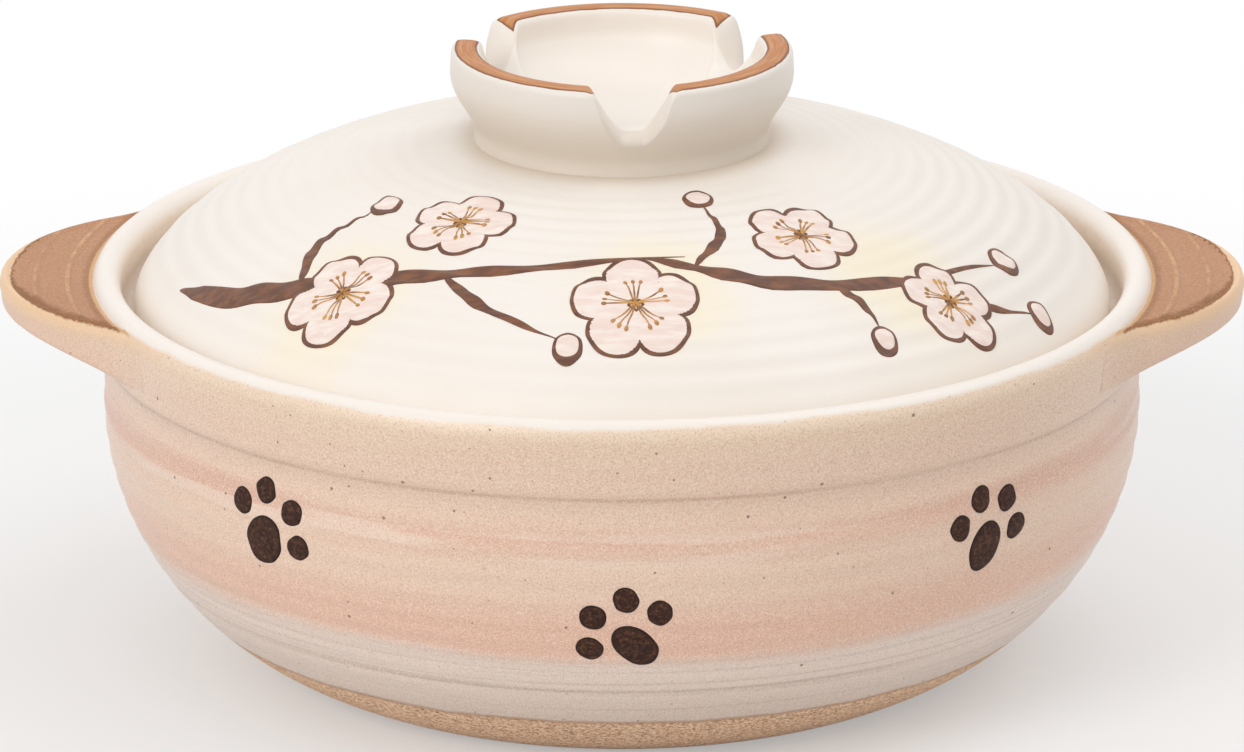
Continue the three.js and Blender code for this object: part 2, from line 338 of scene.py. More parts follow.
# %% [markdown]
# ## The body glaze
# The bowl is dipped in a beige glaze that stops short of the foot, so bare tan clay shows below an uneven
# line. Where the glaze ran thin it turned pink, and the wheel drew both colours out into level streaks and
# fine lines. The lip was dipped once more in white. A colour ramp along the height holds these zones, and
# stretched noise makes their borders wander. The lugs wear the same glaze, so it is a function that both
# materials call. The plain factors in its sums are strengths of a mix.

# %% Colours of the body glaze
BARE_CLAY = paint(232, 191, 155)
CLAY_LINE_AND_CREASE_SHADOW = paint(176, 138, 108)
CLAY_DARK = paint(146, 106, 76)
SAND_PALE = paint(246, 222, 196)
GREY_BEIGE = paint(214, 198, 186)
PALE_BEIGE = paint(232, 215, 204)
PALE_GRAIN_AND_SHEEN = paint(250, 230, 212)
GRAIN_TAN = paint(192, 148, 114)
GROOVE_GREY = paint(184, 166, 152)
PINK_BEIGE = paint(232, 188, 165)
DUSTY_PINK = paint(221, 171, 150)
BEIGE = paint(237, 206, 183)
WARM_BEIGE = paint(242, 214, 186)
EDGE_GOLD = paint(249, 225, 199)
LIP_WHITE = paint(250, 243, 236)
LUG_GOLD = paint(244, 202, 158)
SPECK_BROWN = paint(112, 76, 54)
print(f"bare clay has a linear red of {BARE_CLAY[0]:.2f}, the lip of {LIP_WHITE[0]:.2f}")

# %% Heights of the body glaze, in millimetres
GLAZE_LINE = 15.0
WHITE_LINE = 90.6
# Height and width of the painted shadow line in the crease under the rim band
CREASE_SHADOW_HEIGHT = 73.7
CREASE_SHADOW_WIDTH = (0.1732, 0.5916)
SIDE_STREAK = 64.3
SIDE_STREAK_WIDTH = (0.7071, 3.7417)
LOW_WALL = (28, 40)
# Where the painted highlight of sheen rises and fades on the wall
SHEEN_RISE, SHEEN_FALL = (56, 60), (64, 68)
BAND_RISE = (70, 78)
GILT_RISE = (lug_top - 4.5, lug_top - 0.8)
GLAZE_ZONES = (
    (GLAZE_LINE + 1.5, GREY_BEIGE),
    (26, PALE_BEIGE),
    (33, PALE_BEIGE),
    (37, PINK_BEIGE),
    (43, PINK_BEIGE),
    (51, BEIGE),
    (58, BEIGE),
    (64, PINK_BEIGE),
    (68, BEIGE),
    (80, BEIGE),
    (87, WARM_BEIGE),
    (90, EDGE_GOLD),
)
print(f"{len(GLAZE_ZONES)} stops of glaze, from {GLAZE_ZONES[0][0]} to {GLAZE_ZONES[-1][0]} mm")

# %% Patterns of the body glaze: waves to the millimetre, and spacing, size and share of specks
STREAK_WAVES = (0.02, 0.02, 0.42)
BROAD_WAVES = (0.012, 0.012, 0.10)
GROOVE_WAVES = (0.006, 0.006, 0.62)
FINE_LINE_WAVES = (0.005, 0.005, 1.15)
SHEEN_WAVES = (0.014, 0.014, 0.22)
EDGE_WAVES = (0.09, 0.09, 0.02)
GLAZE_GRAIN, SAND_GRAIN = 2.5, 1.2
STREAK_WANDER, BROAD_WANDER, EDGE_WANDER = 3.0, 5.0, 1.6
FINE_SPECKS = (1.5, 0.3, 0.5)
DARK_SPECKS = (4.0, 0.52, 0.6)
LIP_SPECKS = (1.6, 0.32, 0.5)
LIP_DARK_SPECKS = (6.0, 0.5, 0.4)
print(f"a streak is about {1 / STREAK_WAVES[2]:.1f} mm high and {1 / STREAK_WAVES[0]:.0f} mm long")

# %% Zones and grain
def grained(finish, colour, grain, pale, pale_strength, dark, dark_strength):
    """A colour with the pale and the dark of a grain on it."""
    colour = finish.mix((grain - 0.5).most(0.0) * pale_strength, colour, pale)
    return finish.mix((0.5 - grain).most(0.0) * dark_strength, colour, dark)


def gilding(finish):
    """1 near the top of the lugs, where the glaze broke gold."""
    return finish.z.ease(*GILT_RISE)


def glaze_zones(finish, streak, broad):
    """The colours by height, with pink drawn out in streaks and a painted shadow line in the crease."""
    wander = finish.z + (streak - 0.5) * STREAK_WANDER + (broad - 0.5) * BROAD_WANDER
    stops = [(height / rim_height, colour) for height, colour in GLAZE_ZONES]
    colour = finish.node("ShaderNodeValToRGB", {"stops": stops}, {0: wander / rim_height})
    colour = finish.mix((streak - 0.45) * 0.9 * finish.z.ease(*LOW_WALL), colour, PINK_BEIGE)
    side_streak = (wander - SIDE_STREAK).near(*SIDE_STREAK_WIDTH) * finish.to_side().ease(0.4, 0.75)
    colour = finish.mix(side_streak * 0.5, colour, DUSTY_PINK)
    # Painted shadow: a thin dark line in the crease under the rim band
    crease = (finish.z - CREASE_SHADOW_HEIGHT + (broad - 0.5)).near(*CREASE_SHADOW_WIDTH) * streak.ease(0.3, 0.6)
    return finish.mix(crease * 0.32, colour, CLAY_LINE_AND_CREASE_SHADOW)


print("the glaze breaks gold above", GILT_RISE[0], "mm")

# %% The glaze of the pot's outside
def pot_glaze(finish):
    """The glaze's colour, 1 where the clay is bare, the grain, and the relief of them all."""
    streak = finish.noise(STREAK_WAVES, 3.0, 0.6)
    broad = finish.noise(BROAD_WAVES, 2.0)
    grain = finish.grain(GLAZE_GRAIN, 4.0, 0.8)
    sand = finish.grain(SAND_GRAIN, 4.0, 0.8)
    low_wall = 1 - finish.z.ease(*LOW_WALL)
    groove = finish.noise(GROOVE_WAVES, 2.0).ease(0.54, 0.68) * low_wall
    fine = finish.noise(FINE_LINE_WAVES, 1.0).ease(0.56, 0.66) * low_wall
    colour = glaze_zones(finish, streak, broad)
    colour = finish.mix(groove * 0.45 + fine * 0.3, colour, GROOVE_GREY)
    # Painted highlight: pale streaks of sheen on the upper wall
    painted_sheen = finish.noise(SHEEN_WAVES, 2.0).ease(0.5, 0.62)
    painted_sheen = painted_sheen * finish.z.ease(*SHEEN_RISE) * (1 - finish.z.ease(*SHEEN_FALL))
    colour = finish.mix(painted_sheen * 0.5, colour, PALE_GRAIN_AND_SHEEN)
    coarse = finish.z.ease(*BAND_RISE) * 0.15 + 1.0
    colour = grained(finish, colour, grain, PALE_GRAIN_AND_SHEEN, coarse * 5.6, GRAIN_TAN, coarse * 3.0)
    colour = finish.mix(finish.specks(*FINE_SPECKS) * 0.4, colour, CLAY_LINE_AND_CREASE_SHADOW)
    line = finish.z + (finish.noise(EDGE_WAVES, 3.0) - 0.5) * EDGE_WANDER
    clay = finish.mix(streak - 0.45, BARE_CLAY, CLAY_LINE_AND_CREASE_SHADOW)
    clay = grained(finish, clay, sand, SAND_PALE, 11.0, CLAY_DARK, 8.0)
    edge = line.ease(GLAZE_LINE - 1.2, GLAZE_LINE) * (1 - line.ease(GLAZE_LINE, GLAZE_LINE + 0.9))
    bare = 1 - line.ease(GLAZE_LINE - 0.2, GLAZE_LINE + 0.2)
    colour = finish.mix(bare, colour, clay)
    colour = finish.mix(edge * 0.7, colour, CLAY_LINE_AND_CREASE_SHADOW)
    colour = finish.mix(finish.specks(*DARK_SPECKS) * 0.75, colour, SPECK_BROWN)
    relief = grain * 0.6 + streak - groove * 0.7 - fine * 0.4 + bare * sand
    return colour, bare, grain, relief


print("glaze ends at", GLAZE_LINE, "mm, white starts at", WHITE_LINE, "mm")

# %% The bowl's finish
def bowl_finish():
    finish = Finish("speckled_pot_glaze")
    colour, bare, grain, relief = pot_glaze(finish)
    inside = finish.attribute("inside")
    to_side = finish.to_side()
    runs = (finish.grain(0.05, 3.0) - 0.5) * 2.4
    white_line = finish.z + runs + to_side.ease(0.9, 0.96) * 2.0
    white = white_line.ease(WHITE_LINE - 0.6, WHITE_LINE + 0.5).most(inside)
    cream = finish.mix(finish.grain(0.9, 3.0) * 0.25, LIP_WHITE, EDGE_GOLD)
    below_lip = inside * (1 - finish.z.ease(rim_height - 4.0, rim_height - 1.0))
    cream = finish.mix(below_lip * 0.35, cream, EDGE_GOLD)
    cream = finish.mix(below_lip * finish.grain(0.5, 3.0).ease(0.4, 0.7) * 0.3, cream, WARM_BEIGE)
    cream = finish.mix(below_lip * finish.specks(*LIP_SPECKS) * 0.4, cream, WARM_BEIGE)
    cream = finish.mix(below_lip * finish.specks(*LIP_DARK_SPECKS) * 0.6, cream, SPECK_BROWN)
    colour = finish.mix(to_side.ease(0.8, 0.9) * gilding(finish) * 0.5, colour, LUG_GOLD)
    colour = finish.mix(white, colour, cream)
    roughness = 0.3 + bare * 0.46 + (grain - 0.5) * 0.2
    return finish.shade(colour, roughness, relief * (1 - inside * 0.7), 0.08)


pot_finish = bowl_finish()

# %% [markdown]
# ## The bowl
# The bowl is one thrown wall: a broad foot, a swelling side, a crease under the rim band, a rounded lip,
# and inside the lip a ledge that carries the lid, which potters call the gallery. A subdivided block could
# be carved into this, but a spun profile is what the wheel makes, and its round stretches are plain arcs.
# Faint waves from the potter's fingers are added to the wall, because they catch the light on the real one.

# %% Bowl sizes, in millimetres
LIP_WIDTH = 6.6
LIP_ROUND = 4.0
BAND_HEIGHT = 18.4
BAND_TAPER = 1.2
CREASE_DEPTH = 2.2
CREASE_ROUND = 3.0
CREASE_SOFT = 1.1
BULGE_INSET = 2.5
BULGE_DROP = 12.1
FOOT_RADIUS = 75.5
FOOT_CUT = 4.5
FOOT_RING_WIDTH = 17.0
RECESS_DEPTH = 1.5
RECESS_SLOPE = 2.5
WALL_THICKNESS = 7.0
FLOOR_THICKNESS = 9.0
FLOOR_INSET = 7.5
GALLERY_DEPTH = 10.8
GALLERY_WIDTH = 11.0
GALLERY_FILLET = 2.6
GALLERY_NOSE = 2.2
GALLERY_COVE = 15.0
BAND_STEPS, COVE_STEPS = 8, 10
RIPPLE = 0.13
RIPPLE_SPACING = 5.4
RIPPLE_RISE, RIPPLE_FALL = (12, 24), (64, 72)
RIPPLE_SWAY, RIPPLE_SWAY_LENGTH = 0.8, 6

lip_centre = (rim_radius - LIP_WIDTH / 2, rim_height - LIP_ROUND)
inner_radius = rim_radius - LIP_WIDTH
crease_height = rim_height - BAND_HEIGHT
band_foot_radius = rim_radius - BAND_TAPER
band_foot_height = crease_height + CREASE_ROUND
bulge_height = crease_height - BULGE_DROP
wall_drop = bulge_height + FOOT_CUT
wall_lean = math.sqrt(1 - (bulge_height / wall_drop) ** 2)
wall_sweep = (rim_radius - BULGE_INSET - FOOT_RADIUS) / (1 - wall_lean)
wall_centre = (rim_radius - BULGE_INSET - wall_sweep, bulge_height)
print(f"wall arc about {wall_centre[0]:.1f}, {wall_centre[1]:.1f}, {wall_sweep:.1f} by {wall_drop:.1f} mm")

# %% Bowl profile
def ripple(height):
    """The waves that fingers leave in the wall, none at the foot and the crease."""
    fade = ease(*RIPPLE_RISE, height) * (1 - ease(*RIPPLE_FALL, height))
    sway = RIPPLE_SWAY * math.sin(height / RIPPLE_SWAY_LENGTH)
    return RIPPLE * fade * math.sin(math.tau * height / RIPPLE_SPACING + sway)


def wall_radius(height):
    """Radius of the bowl's outside at a height between the foot and the crease."""
    lift = (height - wall_centre[1]) / wall_drop
    return wall_centre[0] + wall_sweep * math.sqrt(1 - lift * lift) + ripple(height)


def outer_profile():
    ring_inside = FOOT_RADIUS - FOOT_RING_WIDTH
    wall_end = bulge_height + BULGE_DROP - CREASE_ROUND - CREASE_SOFT
    start = -math.degrees(math.asin(bulge_height / wall_drop))
    end = math.degrees(math.asin((wall_end - bulge_height) / wall_drop))
    wall = arc(wall_centre, wall_sweep, wall_drop, start, end, 104)
    crease_centre = (band_foot_radius - CREASE_DEPTH, band_foot_height + CREASE_SOFT)
    crease = arc(crease_centre, CREASE_DEPTH, CREASE_ROUND + CREASE_SOFT, -70, 0, 10)
    band = []
    for step in range(1, BAND_STEPS):
        share = step / BAND_STEPS
        band.append((lerp(band_foot_radius, rim_radius, share), lerp(crease_centre[1], lip_centre[1], share)))
    under = [(0, RECESS_DEPTH), (ring_inside - RECESS_SLOPE, RECESS_DEPTH), (ring_inside, 0)]
    return under + [(radius + ripple(height), height) for radius, height in wall] + crease + band


def inner_profile():
    gallery_height = rim_height - GALLERY_DEPTH
    gallery_radius = inner_radius - GALLERY_WIDTH
    nose_height = gallery_height - GALLERY_NOSE
    inner_sweep = wall_sweep - WALL_THICKNESS
    floor_share = (FOOT_RADIUS - FLOOR_INSET - wall_centre[0]) / inner_sweep
    inner_drop = (bulge_height - FLOOR_THICKNESS) / math.sqrt(1 - floor_share ** 2)
    start = math.degrees(math.asin((nose_height - GALLERY_COVE - bulge_height) / inner_drop))
    wall = arc(wall_centre, inner_sweep, inner_drop, start, -math.degrees(math.acos(floor_share)), 48)
    fillet_centre = (inner_radius - GALLERY_FILLET, gallery_height + GALLERY_FILLET)
    nose_centre = (gallery_radius + GALLERY_NOSE, nose_height)
    cove = []
    for step in range(1, COVE_STEPS):
        share = step / COVE_STEPS
        middle = lerp(gallery_radius, wall[0][0], share * share)
        cove.append((middle, nose_height - GALLERY_COVE * share))
    floor = [(FOOT_RADIUS - FLOOR_INSET) * share for share in (0.8, 0.6, 0.4, 0.2, 0)]
    return (arc(fillet_centre, GALLERY_FILLET, GALLERY_FILLET, 0, -90, 8)
            + arc(nose_centre, GALLERY_NOSE, GALLERY_NOSE, 90, 180, 8)
            + cove + wall + [(radius, FLOOR_THICKNESS) for radius in floor])


print(f"bowl profile: {len(outer_profile())} points outside, {len(inner_profile())} inside")

# %% Throw the bowl
def make_bowl():
    outside = outer_profile()
    lip = arc(lip_centre, LIP_WIDTH / 2, LIP_ROUND, 0, 180, 26)
    mesh = throw(outside + lip + inner_profile(), WHEEL_COLUMNS)
    row_layer = mesh.verts.layers.int["row"]
    inside_layer = mesh.verts.layers.float.new("inside")
    lip_top = len(outside) + len(lip) // 2
    for vert in mesh.verts:
        vert[inside_layer] = 1.0 if vert[row_layer] >= lip_top else 0.0
    return piece("bowl", mesh, "pot", pot_finish, "pot_bowl")


make_bowl()

# %% [markdown]
# ## The lugs
# Each lug is a crescent of clay pressed on the rim band. Its top is a shallow dish with ridges that run
# round with the rim, inside a soft raised border. A spun ring section gives the crescent its round run, but
# its reach changes from the middle to the ends. So a small closed loop is spun through the lug's angle, and
# each point is then placed by its row in the section and its angle round the pot.

# %% Lug sizes, in millimetres
LUG_TIP_RADIUS = 50.0
LUG_FILLET = 28.0
LUG_TIP_THICKNESS = 7.4
LUG_ROOT_THICKNESS = 13.8
LUG_ROOT_RADIUS = 118.0
LUG_SINK = 0.03
LUG_OVERRUN = math.radians(1)
ROOT_MARGIN = 0.5
LEAN_LIMIT = 1.2
BORDER_ROUND = 2.6
BORDER_CREST = 1.2
BORDER_WIDTH = 2.7
SLIP_INSET = 0.5
SLIP_TIP_INSET = 2.0
SLIP_TIP_TURN = math.radians(9)
DISH_DEPTH = 0.6
RIDGE_HEIGHT = 0.5
RIDGE_WIDTH = 1.3
RIDGE_START = 5.6
RIDGE_SPACING = 7.4
UNDER_ROUND = 1.8
UNDER_ROWS, EDGE_ROWS, BORDER_ROWS, DISH_ROWS = 16, 14, 26, 60
LUG_COLUMNS = 216
BLANK_RADIUS = 5

tip_centre = lug_reach - LUG_TIP_RADIUS
fillet_reach = rim_radius + LUG_FILLET
tip_to_fillet = LUG_TIP_RADIUS + LUG_FILLET
fillet_cosine = (fillet_reach ** 2 + tip_centre ** 2 - tip_to_fillet ** 2) / (2 * fillet_reach * tip_centre)
fillet_turn = math.acos(fillet_cosine)
meet_share = LUG_TIP_RADIUS / tip_to_fillet
meet_x = lerp(tip_centre, fillet_reach * math.cos(fillet_turn), meet_share)
meet_turn = math.atan2(fillet_reach * math.sin(fillet_turn) * meet_share, meet_x)
lug_turn = fillet_turn + LUG_OVERRUN
print(f"lug: tip arc to {math.degrees(meet_turn):.1f}, fillet to {math.degrees(fillet_turn):.1f} degrees")

# %% Shape of a lug
def lug_outline(turn):
    """Radius of the lug's edge, seen from above, at an angle from its middle."""
    turn = abs(turn)
    if turn < meet_turn:
        aside = tip_centre * math.sin(turn)
        return tip_centre * math.cos(turn) + math.sqrt(LUG_TIP_RADIUS ** 2 - aside ** 2)
    if turn < fillet_turn:
        gap = fillet_turn - turn
        aside = fillet_reach * math.sin(gap)
        return fillet_reach * math.cos(gap) - math.sqrt(LUG_FILLET ** 2 - aside ** 2)
    return rim_radius


def lug_spread(turn):
    """How much wider a border of even width is along the radius than across the edge."""
    step = 1e-4
    slope = (lug_outline(turn + step) - lug_outline(turn - step)) / (2 * step)
    return math.hypot(1, slope / lug_outline(turn))


def lug_underside(radius):
    share = min(1, max(0, (radius - band_foot_radius) / (lug_reach - band_foot_radius)))
    return lug_top - LUG_TIP_THICKNESS - (LUG_ROOT_THICKNESS - LUG_TIP_THICKNESS) * (1 - share) ** 2


def band_lean(height):
    """How far the rim band lies inside the rim at a height."""
    share = min(LEAN_LIMIT, max(0, (lip_centre[1] - height) / (lip_centre[1] - band_foot_height)))
    return BAND_TAPER * share


def slip_inset(turn):
    """How far the slip stays from the lug's edge, further at the tip than along the sides."""
    return SLIP_INSET + SLIP_TIP_INSET * math.exp(-(turn / SLIP_TIP_TURN) ** 2)


def dish_height(radius):
    rise = 0
    for ridge in (RIDGE_START, RIDGE_START + RIDGE_SPACING):
        rise += math.exp(-((radius - rim_radius - ridge) / (RIDGE_WIDTH / 2)) ** 2)
    return lug_top - DISH_DEPTH + RIDGE_HEIGHT * rise


print(f"lug edge {lug_outline(0):.1f} mm from the axis, dish {dish_height(lug_reach):.1f} mm high")

# %% Section of a lug, from the root underneath, round the border and back along the dish
LUG_ROWS = UNDER_ROWS + EDGE_ROWS + BORDER_ROWS + DISH_ROWS


def lug_place(row, turn):
    """Radius and height of a row of the section at an angle from the lug's middle."""
    edge = lug_outline(turn) - LUG_SINK
    spread = lug_spread(turn)
    root = min(LUG_ROOT_RADIUS, edge - BORDER_WIDTH * spread - ROOT_MARGIN)
    low = lug_underside(edge - UNDER_ROUND)
    shoulder = lug_top - BORDER_ROUND
    if row < UNDER_ROWS:
        radius = lerp(root, edge - band_lean(low) - UNDER_ROUND, row / UNDER_ROWS)
        return radius, lug_underside(radius)
    row -= UNDER_ROWS
    if row < EDGE_ROWS:
        share = row / EDGE_ROWS
        quarter = min(1, share * 2) * math.pi / 2
        height = low + UNDER_ROUND * (1 - math.cos(quarter))
        height = lerp(height, shoulder, max(0, share * 2 - 1))
        return edge - band_lean(height) - UNDER_ROUND * (1 - math.sin(quarter)), height
    row -= EDGE_ROWS
    if row < BORDER_ROWS:
        share = row / BORDER_ROWS
        if share < 0.5:
            quarter = share * math.pi
            inset = BORDER_CREST * (1 - math.cos(quarter))
            return edge - inset * spread, shoulder + BORDER_ROUND * math.sin(quarter)
        slope = share * 2 - 1
        inset = lerp(BORDER_CREST, BORDER_WIDTH, slope)
        radius = edge - inset * spread
        return radius, lerp(lug_top, dish_height(radius), ease(0, 1, slope))
    radius = lerp(edge - BORDER_WIDTH * spread, root, (row - BORDER_ROWS) / (DISH_ROWS - 1))
    return radius, dish_height(radius)


print(f"a lug has {LUG_ROWS} rows round its section")

# %% [markdown]
# The dish is brushed with brown slip. It broke gold on the ridges and along the lip, and it is darker towards
# the front. A dark fringe with a ragged edge runs along the border, widest at the front: partly slip that ran
# together, partly painted shadow of the raised border. The distance to that border and to the lip is known
# while the points are placed, so it is stored on them as an attribute, and the finish reads it. Outside the
# dish the lug wears the pot's own glaze.

# %% Colours and edges of the slip
SLIP_BROWN = paint(205, 154, 119)
SLIP_DARK = paint(184, 133, 98)
SLIP_PALE = paint(218, 180, 154)
SLIP_GOLD = paint(233, 192, 142)
SLIP_EDGE_AND_SHADOW = paint(138, 84, 28)
RIDGE_CLEAR, RIDGE_FAINT = 0.75, 0.45
RIDGE_CORE, RIDGE_FADE = 0.2236, 0.6325
# The dark fringe along the border is partly slip that ran together and partly painted shadow of the raised
# border
FRINGE_TIP, FRINGE_FRONT = 0.7, 4.8
FRONT_SIDE = (-26, -2)
SLIP_SPECKS = (2.2, 0.35, 0.4)
print(f"the slip's fringe is {FRINGE_TIP} mm wide at the tip and {FRINGE_TIP + FRINGE_FRONT} mm in front")

# %% The lug's finish
def ridge_line(finish, place):
    """1 along the crest of a ridge that runs at a distance from the lip."""
    return (finish.attribute("to_lip") - place).near(RIDGE_CORE, RIDGE_FADE)


def slip_colour(finish, grain, brush, ragged, to_border):
    """The brown of the dish, gold on the ridges and by the lip, darker to the front, with a dark fringe at
    the border that is partly run slip and partly painted shadow.
    """
    to_lip = finish.attribute("to_lip") + ragged * 0.4
    patches = finish.grain(0.14, 2.0)
    front = 1 - finish.y.ease(*FRONT_SIDE)
    slip = finish.mix(brush.ease(0.35, 0.65) * 0.5 + 0.25, SLIP_DARK, SLIP_BROWN)
    first = ridge_line(finish, RIDGE_START) * patches.ease(0.3, 0.55)
    second = ridge_line(finish, RIDGE_START + RIDGE_SPACING) * patches.ease(0.4, 0.6)
    stipple = finish.grain(1.3, 2.0).ease(0.38, 0.58) * 0.7 + 0.3
    slip = finish.mix((first * RIDGE_CLEAR + second * RIDGE_FAINT) * stipple, slip, SLIP_GOLD)
    # Darker towards the front. The dark fringe along the border, widest at the front, is partly run slip and
    # partly painted shadow
    slip = finish.mix(front * 0.35, slip, SLIP_DARK)
    fringe_and_shadow_width = front * FRINGE_FRONT + FRINGE_TIP
    fringe_and_shadow = 1 - ((to_border + ragged * 2.5) / fringe_and_shadow_width).ease(0.45, 1.0)
    slip = finish.mix(fringe_and_shadow * 0.88, slip, SLIP_EDGE_AND_SHADOW)
    lip_line = to_lip.ease(0.4, 1.0) * (1 - to_lip.ease(1.2, 2.8))
    slip = finish.mix(lip_line * 0.45, slip, SLIP_EDGE_AND_SHADOW)
    slip = finish.mix((1 - to_lip.ease(0.2, 0.9)) * 0.8, slip, SLIP_GOLD)
    slip = grained(finish, slip, grain, SLIP_PALE, 3.0, SLIP_EDGE_AND_SHADOW, 3.0)
    return finish.mix(finish.specks(*SLIP_SPECKS) * 0.6, slip, SLIP_PALE)


def lug_finish():
    finish = Finish("brown_slip_and_glaze")
    colour, _, grain, relief = pot_glaze(finish)
    gilt = gilding(finish)
    towards_tip = finish.to_side().ease(0.9, 0.98)
    colour = finish.mix((1 - gilt) * towards_tip * 0.4, colour, PINK_BEIGE)
    colour = finish.mix(gilt * (towards_tip * 0.3 + 0.5), colour, LUG_GOLD)
    ragged = (finish.grain(0.5, 3.0, 0.6) - 0.5) * 0.8
    to_border = finish.attribute("to_border") + ragged
    dish = to_border.ease(-0.15, 0.25)
    brush = finish.turned_streaks(1.1, 0.06) * 0.25 + finish.grain(1.6, 3.0, 0.65) * 0.75
    colour = finish.mix(dish, colour, slip_colour(finish, grain, brush, ragged, to_border))
    roughness = 0.45 + dish * 0.25 + (grain - 0.5) * 0.2
    return finish.shade(colour, roughness, relief + dish * brush * 0.5, 0.1)


slip_finish = lug_finish()

# %% Press the two lugs on the band
def make_lug(name, node, facing):
    mesh = bmesh.new()
    row_layer = mesh.verts.layers.int.new("row")
    border_layer = mesh.verts.layers.float.new("to_border")
    lip_layer = mesh.verts.layers.float.new("to_lip")
    loop = bmesh.ops.create_circle(mesh, segments=LUG_ROWS, radius=BLANK_RADIUS)["verts"]
    for row, vert in enumerate(loop):
        vert[row_layer] = row
    bmesh.ops.rotate(mesh, verts=loop, cent=(0, 0, 0), matrix=Matrix.Rotation(math.pi / 2, 3, "X"))
    bmesh.ops.translate(mesh, verts=loop, vec=(rim_radius, 0, 0))
    bmesh.ops.rotate(mesh, verts=loop, cent=(0, 0, 0), matrix=Matrix.Rotation(-lug_turn, 3, "Z"))
    bmesh.ops.spin(mesh, geom=loop + mesh.edges[:], axis=(0, 0, 1), cent=(0, 0, 0),
                   angle=2 * lug_turn, steps=LUG_COLUMNS)
    top_row = UNDER_ROWS + EDGE_ROWS
    for vert in mesh.verts:
        turn = math.atan2(vert.co.y, vert.co.x)
        radius, height = lug_place(vert[row_layer], turn)
        spread = lug_spread(turn)
        on_top = vert[row_layer] > top_row
        inset = (lug_outline(turn) - radius) / spread - slip_inset(turn)
        vert[border_layer] = inset if on_top else -BORDER_WIDTH
        vert[lip_layer] = radius - rim_radius
        vert.co = (radius * math.cos(turn), radius * math.sin(turn), height)
    bmesh.ops.holes_fill(mesh, edges=[edge for edge in mesh.edges if edge.is_boundary], sides=0)
    bmesh.ops.rotate(mesh, verts=mesh.verts[:], cent=(0, 0, 0), matrix=Matrix.Rotation(facing, 3, "Z"))
    bmesh.ops.recalc_face_normals(mesh, faces=mesh.faces[:])
    return piece(name, mesh, "pot", slip_finish, node)


make_lug("right_lug_handle", "right_lug", 0)
make_lug("left_lug_handle", "left_lug", math.pi)

# %% [markdown]
# ## The lid
# The lid is thrown upside down and turned, so its dome carries soft rings. They could be painted as bump,
# but the light shows their true rise near the edge, so they are part of the profile. Under the dome the lid
# is hollow, with a flat bare ring that sits on the gallery. A small hole at the back lets steam out: it is
# the one shape that a wheel can't make, so a flared cutter takes it out with a Boolean.

# %% Lid sizes, in millimetres
LID_EDGE_ROUND = 2.5
LID_SEAT_WIDTH = 7.0
LID_RISE = 40.0
LID_THICKNESS = 6.0
UNDER_STEPS, OVER_STEPS = 60, 130
CROWN_POWER = 2.2
SHOULDER_POWER = 1.6
RING_HEIGHT = 0.25
RING_SPACING = 4.8
RINGS_START = (38, 60)
RINGS_END = (lid_radius - 8, lid_radius - 2)
STEAM_HOLE_RADIUS = 4.0
STEAM_HOLE_FROM_AXIS = 66.0
STEAM_HOLE_ROUND = 1.2
CUTTER_DEPTH, CUTTER_RISE = 40, 6
CUTTER_COLUMNS = 48

lid_edge = lid_seat + LID_EDGE_ROUND
hollow_radius = lid_radius - LID_SEAT_WIDTH
hollow_rise = knob_seat - LID_THICKNESS - lid_seat
print(f"lid: edge at {lid_edge:.1f} mm, hollow {hollow_rise:.1f} mm high")

# %% Dome and its rings
def dome(radius, edge_radius, rise):
    """Height of a dome above its edge: full at the shoulder, flat at the crown."""
    share = min(1, radius / edge_radius)
    return rise * (1 - share ** CROWN_POWER) ** (1 / SHOULDER_POWER)


def lid_height(radius):
    """Height of the lid's outside, with its turned rings."""
    fade = ease(*RINGS_START, radius) * (1 - ease(*RINGS_END, radius))
    rings = RING_HEIGHT * fade * math.cos(math.tau * radius / RING_SPACING)
    return min(knob_seat, lid_edge + dome(radius, lid_radius, LID_RISE)) + rings


def lid_profile():
    under = []
    for step in range(UNDER_STEPS + 1):
        radius = hollow_radius * math.sin(math.pi / 2 * step / UNDER_STEPS)
        under.append((radius, lid_seat + dome(radius, hollow_radius, hollow_rise)))
    edge = arc((lid_radius - LID_EDGE_ROUND, lid_edge), LID_EDGE_ROUND, LID_EDGE_ROUND, -90, 0, 8)
    over = []
    for step in range(1, OVER_STEPS + 1):
        radius = lid_radius * math.sin(math.pi / 2 * (1 - step / OVER_STEPS))
        over.append((radius, lid_height(radius)))
    return under + edge + over


print(f"lid profile: {len(lid_profile())} points, {lid_height(RINGS_START[1]):.1f} mm high at the shoulder")

# %% [markdown]
# The lid's glaze is a warm cream with a satin skin, with faint washes of yellow behind the painting.
# Painted shade darkens the lid round the knob's foot and darkens the knob's lower half. The glaze is bare on
# the ring that sits on the gallery, because glaze there would weld the lid to the pot in the kiln.

# %% The cream finish of the lid and knob
CREAM = paint(248, 241, 233)
CREAM_SHADE = paint(241, 230, 218)
# A darker cream for painted shade: round the knob's foot on the lid, and on the knob's lower half
PAINTED_SHADE_CREAM = paint(214, 198, 178)
WASH_YELLOW = paint(252, 238, 200)
WASHES = ((-62, -68), (8, -80), (62, -62))
WASH_RADIUS = 24.0
WASH_WANDER = 14
KNOB_WAIST_RADIUS = 33.7
PAINT_BROWN = paint(194, 126, 72)
PAINT_PALE = paint(214, 154, 104)
PAINT_DARK = paint(116, 64, 34)


def cream_glaze(finish):
    """Colour and relief of the cream glaze."""
    cloud = finish.grain(0.03, 3.0)
    grain = finish.grain(1.6, 2.0, 0.6)
    colour = finish.mix(cloud.ease(0.3, 0.8) * 0.4, CREAM, CREAM_SHADE)
    colour = finish.mix(grain * 0.25, colour, CREAM_SHADE)
    return colour, grain


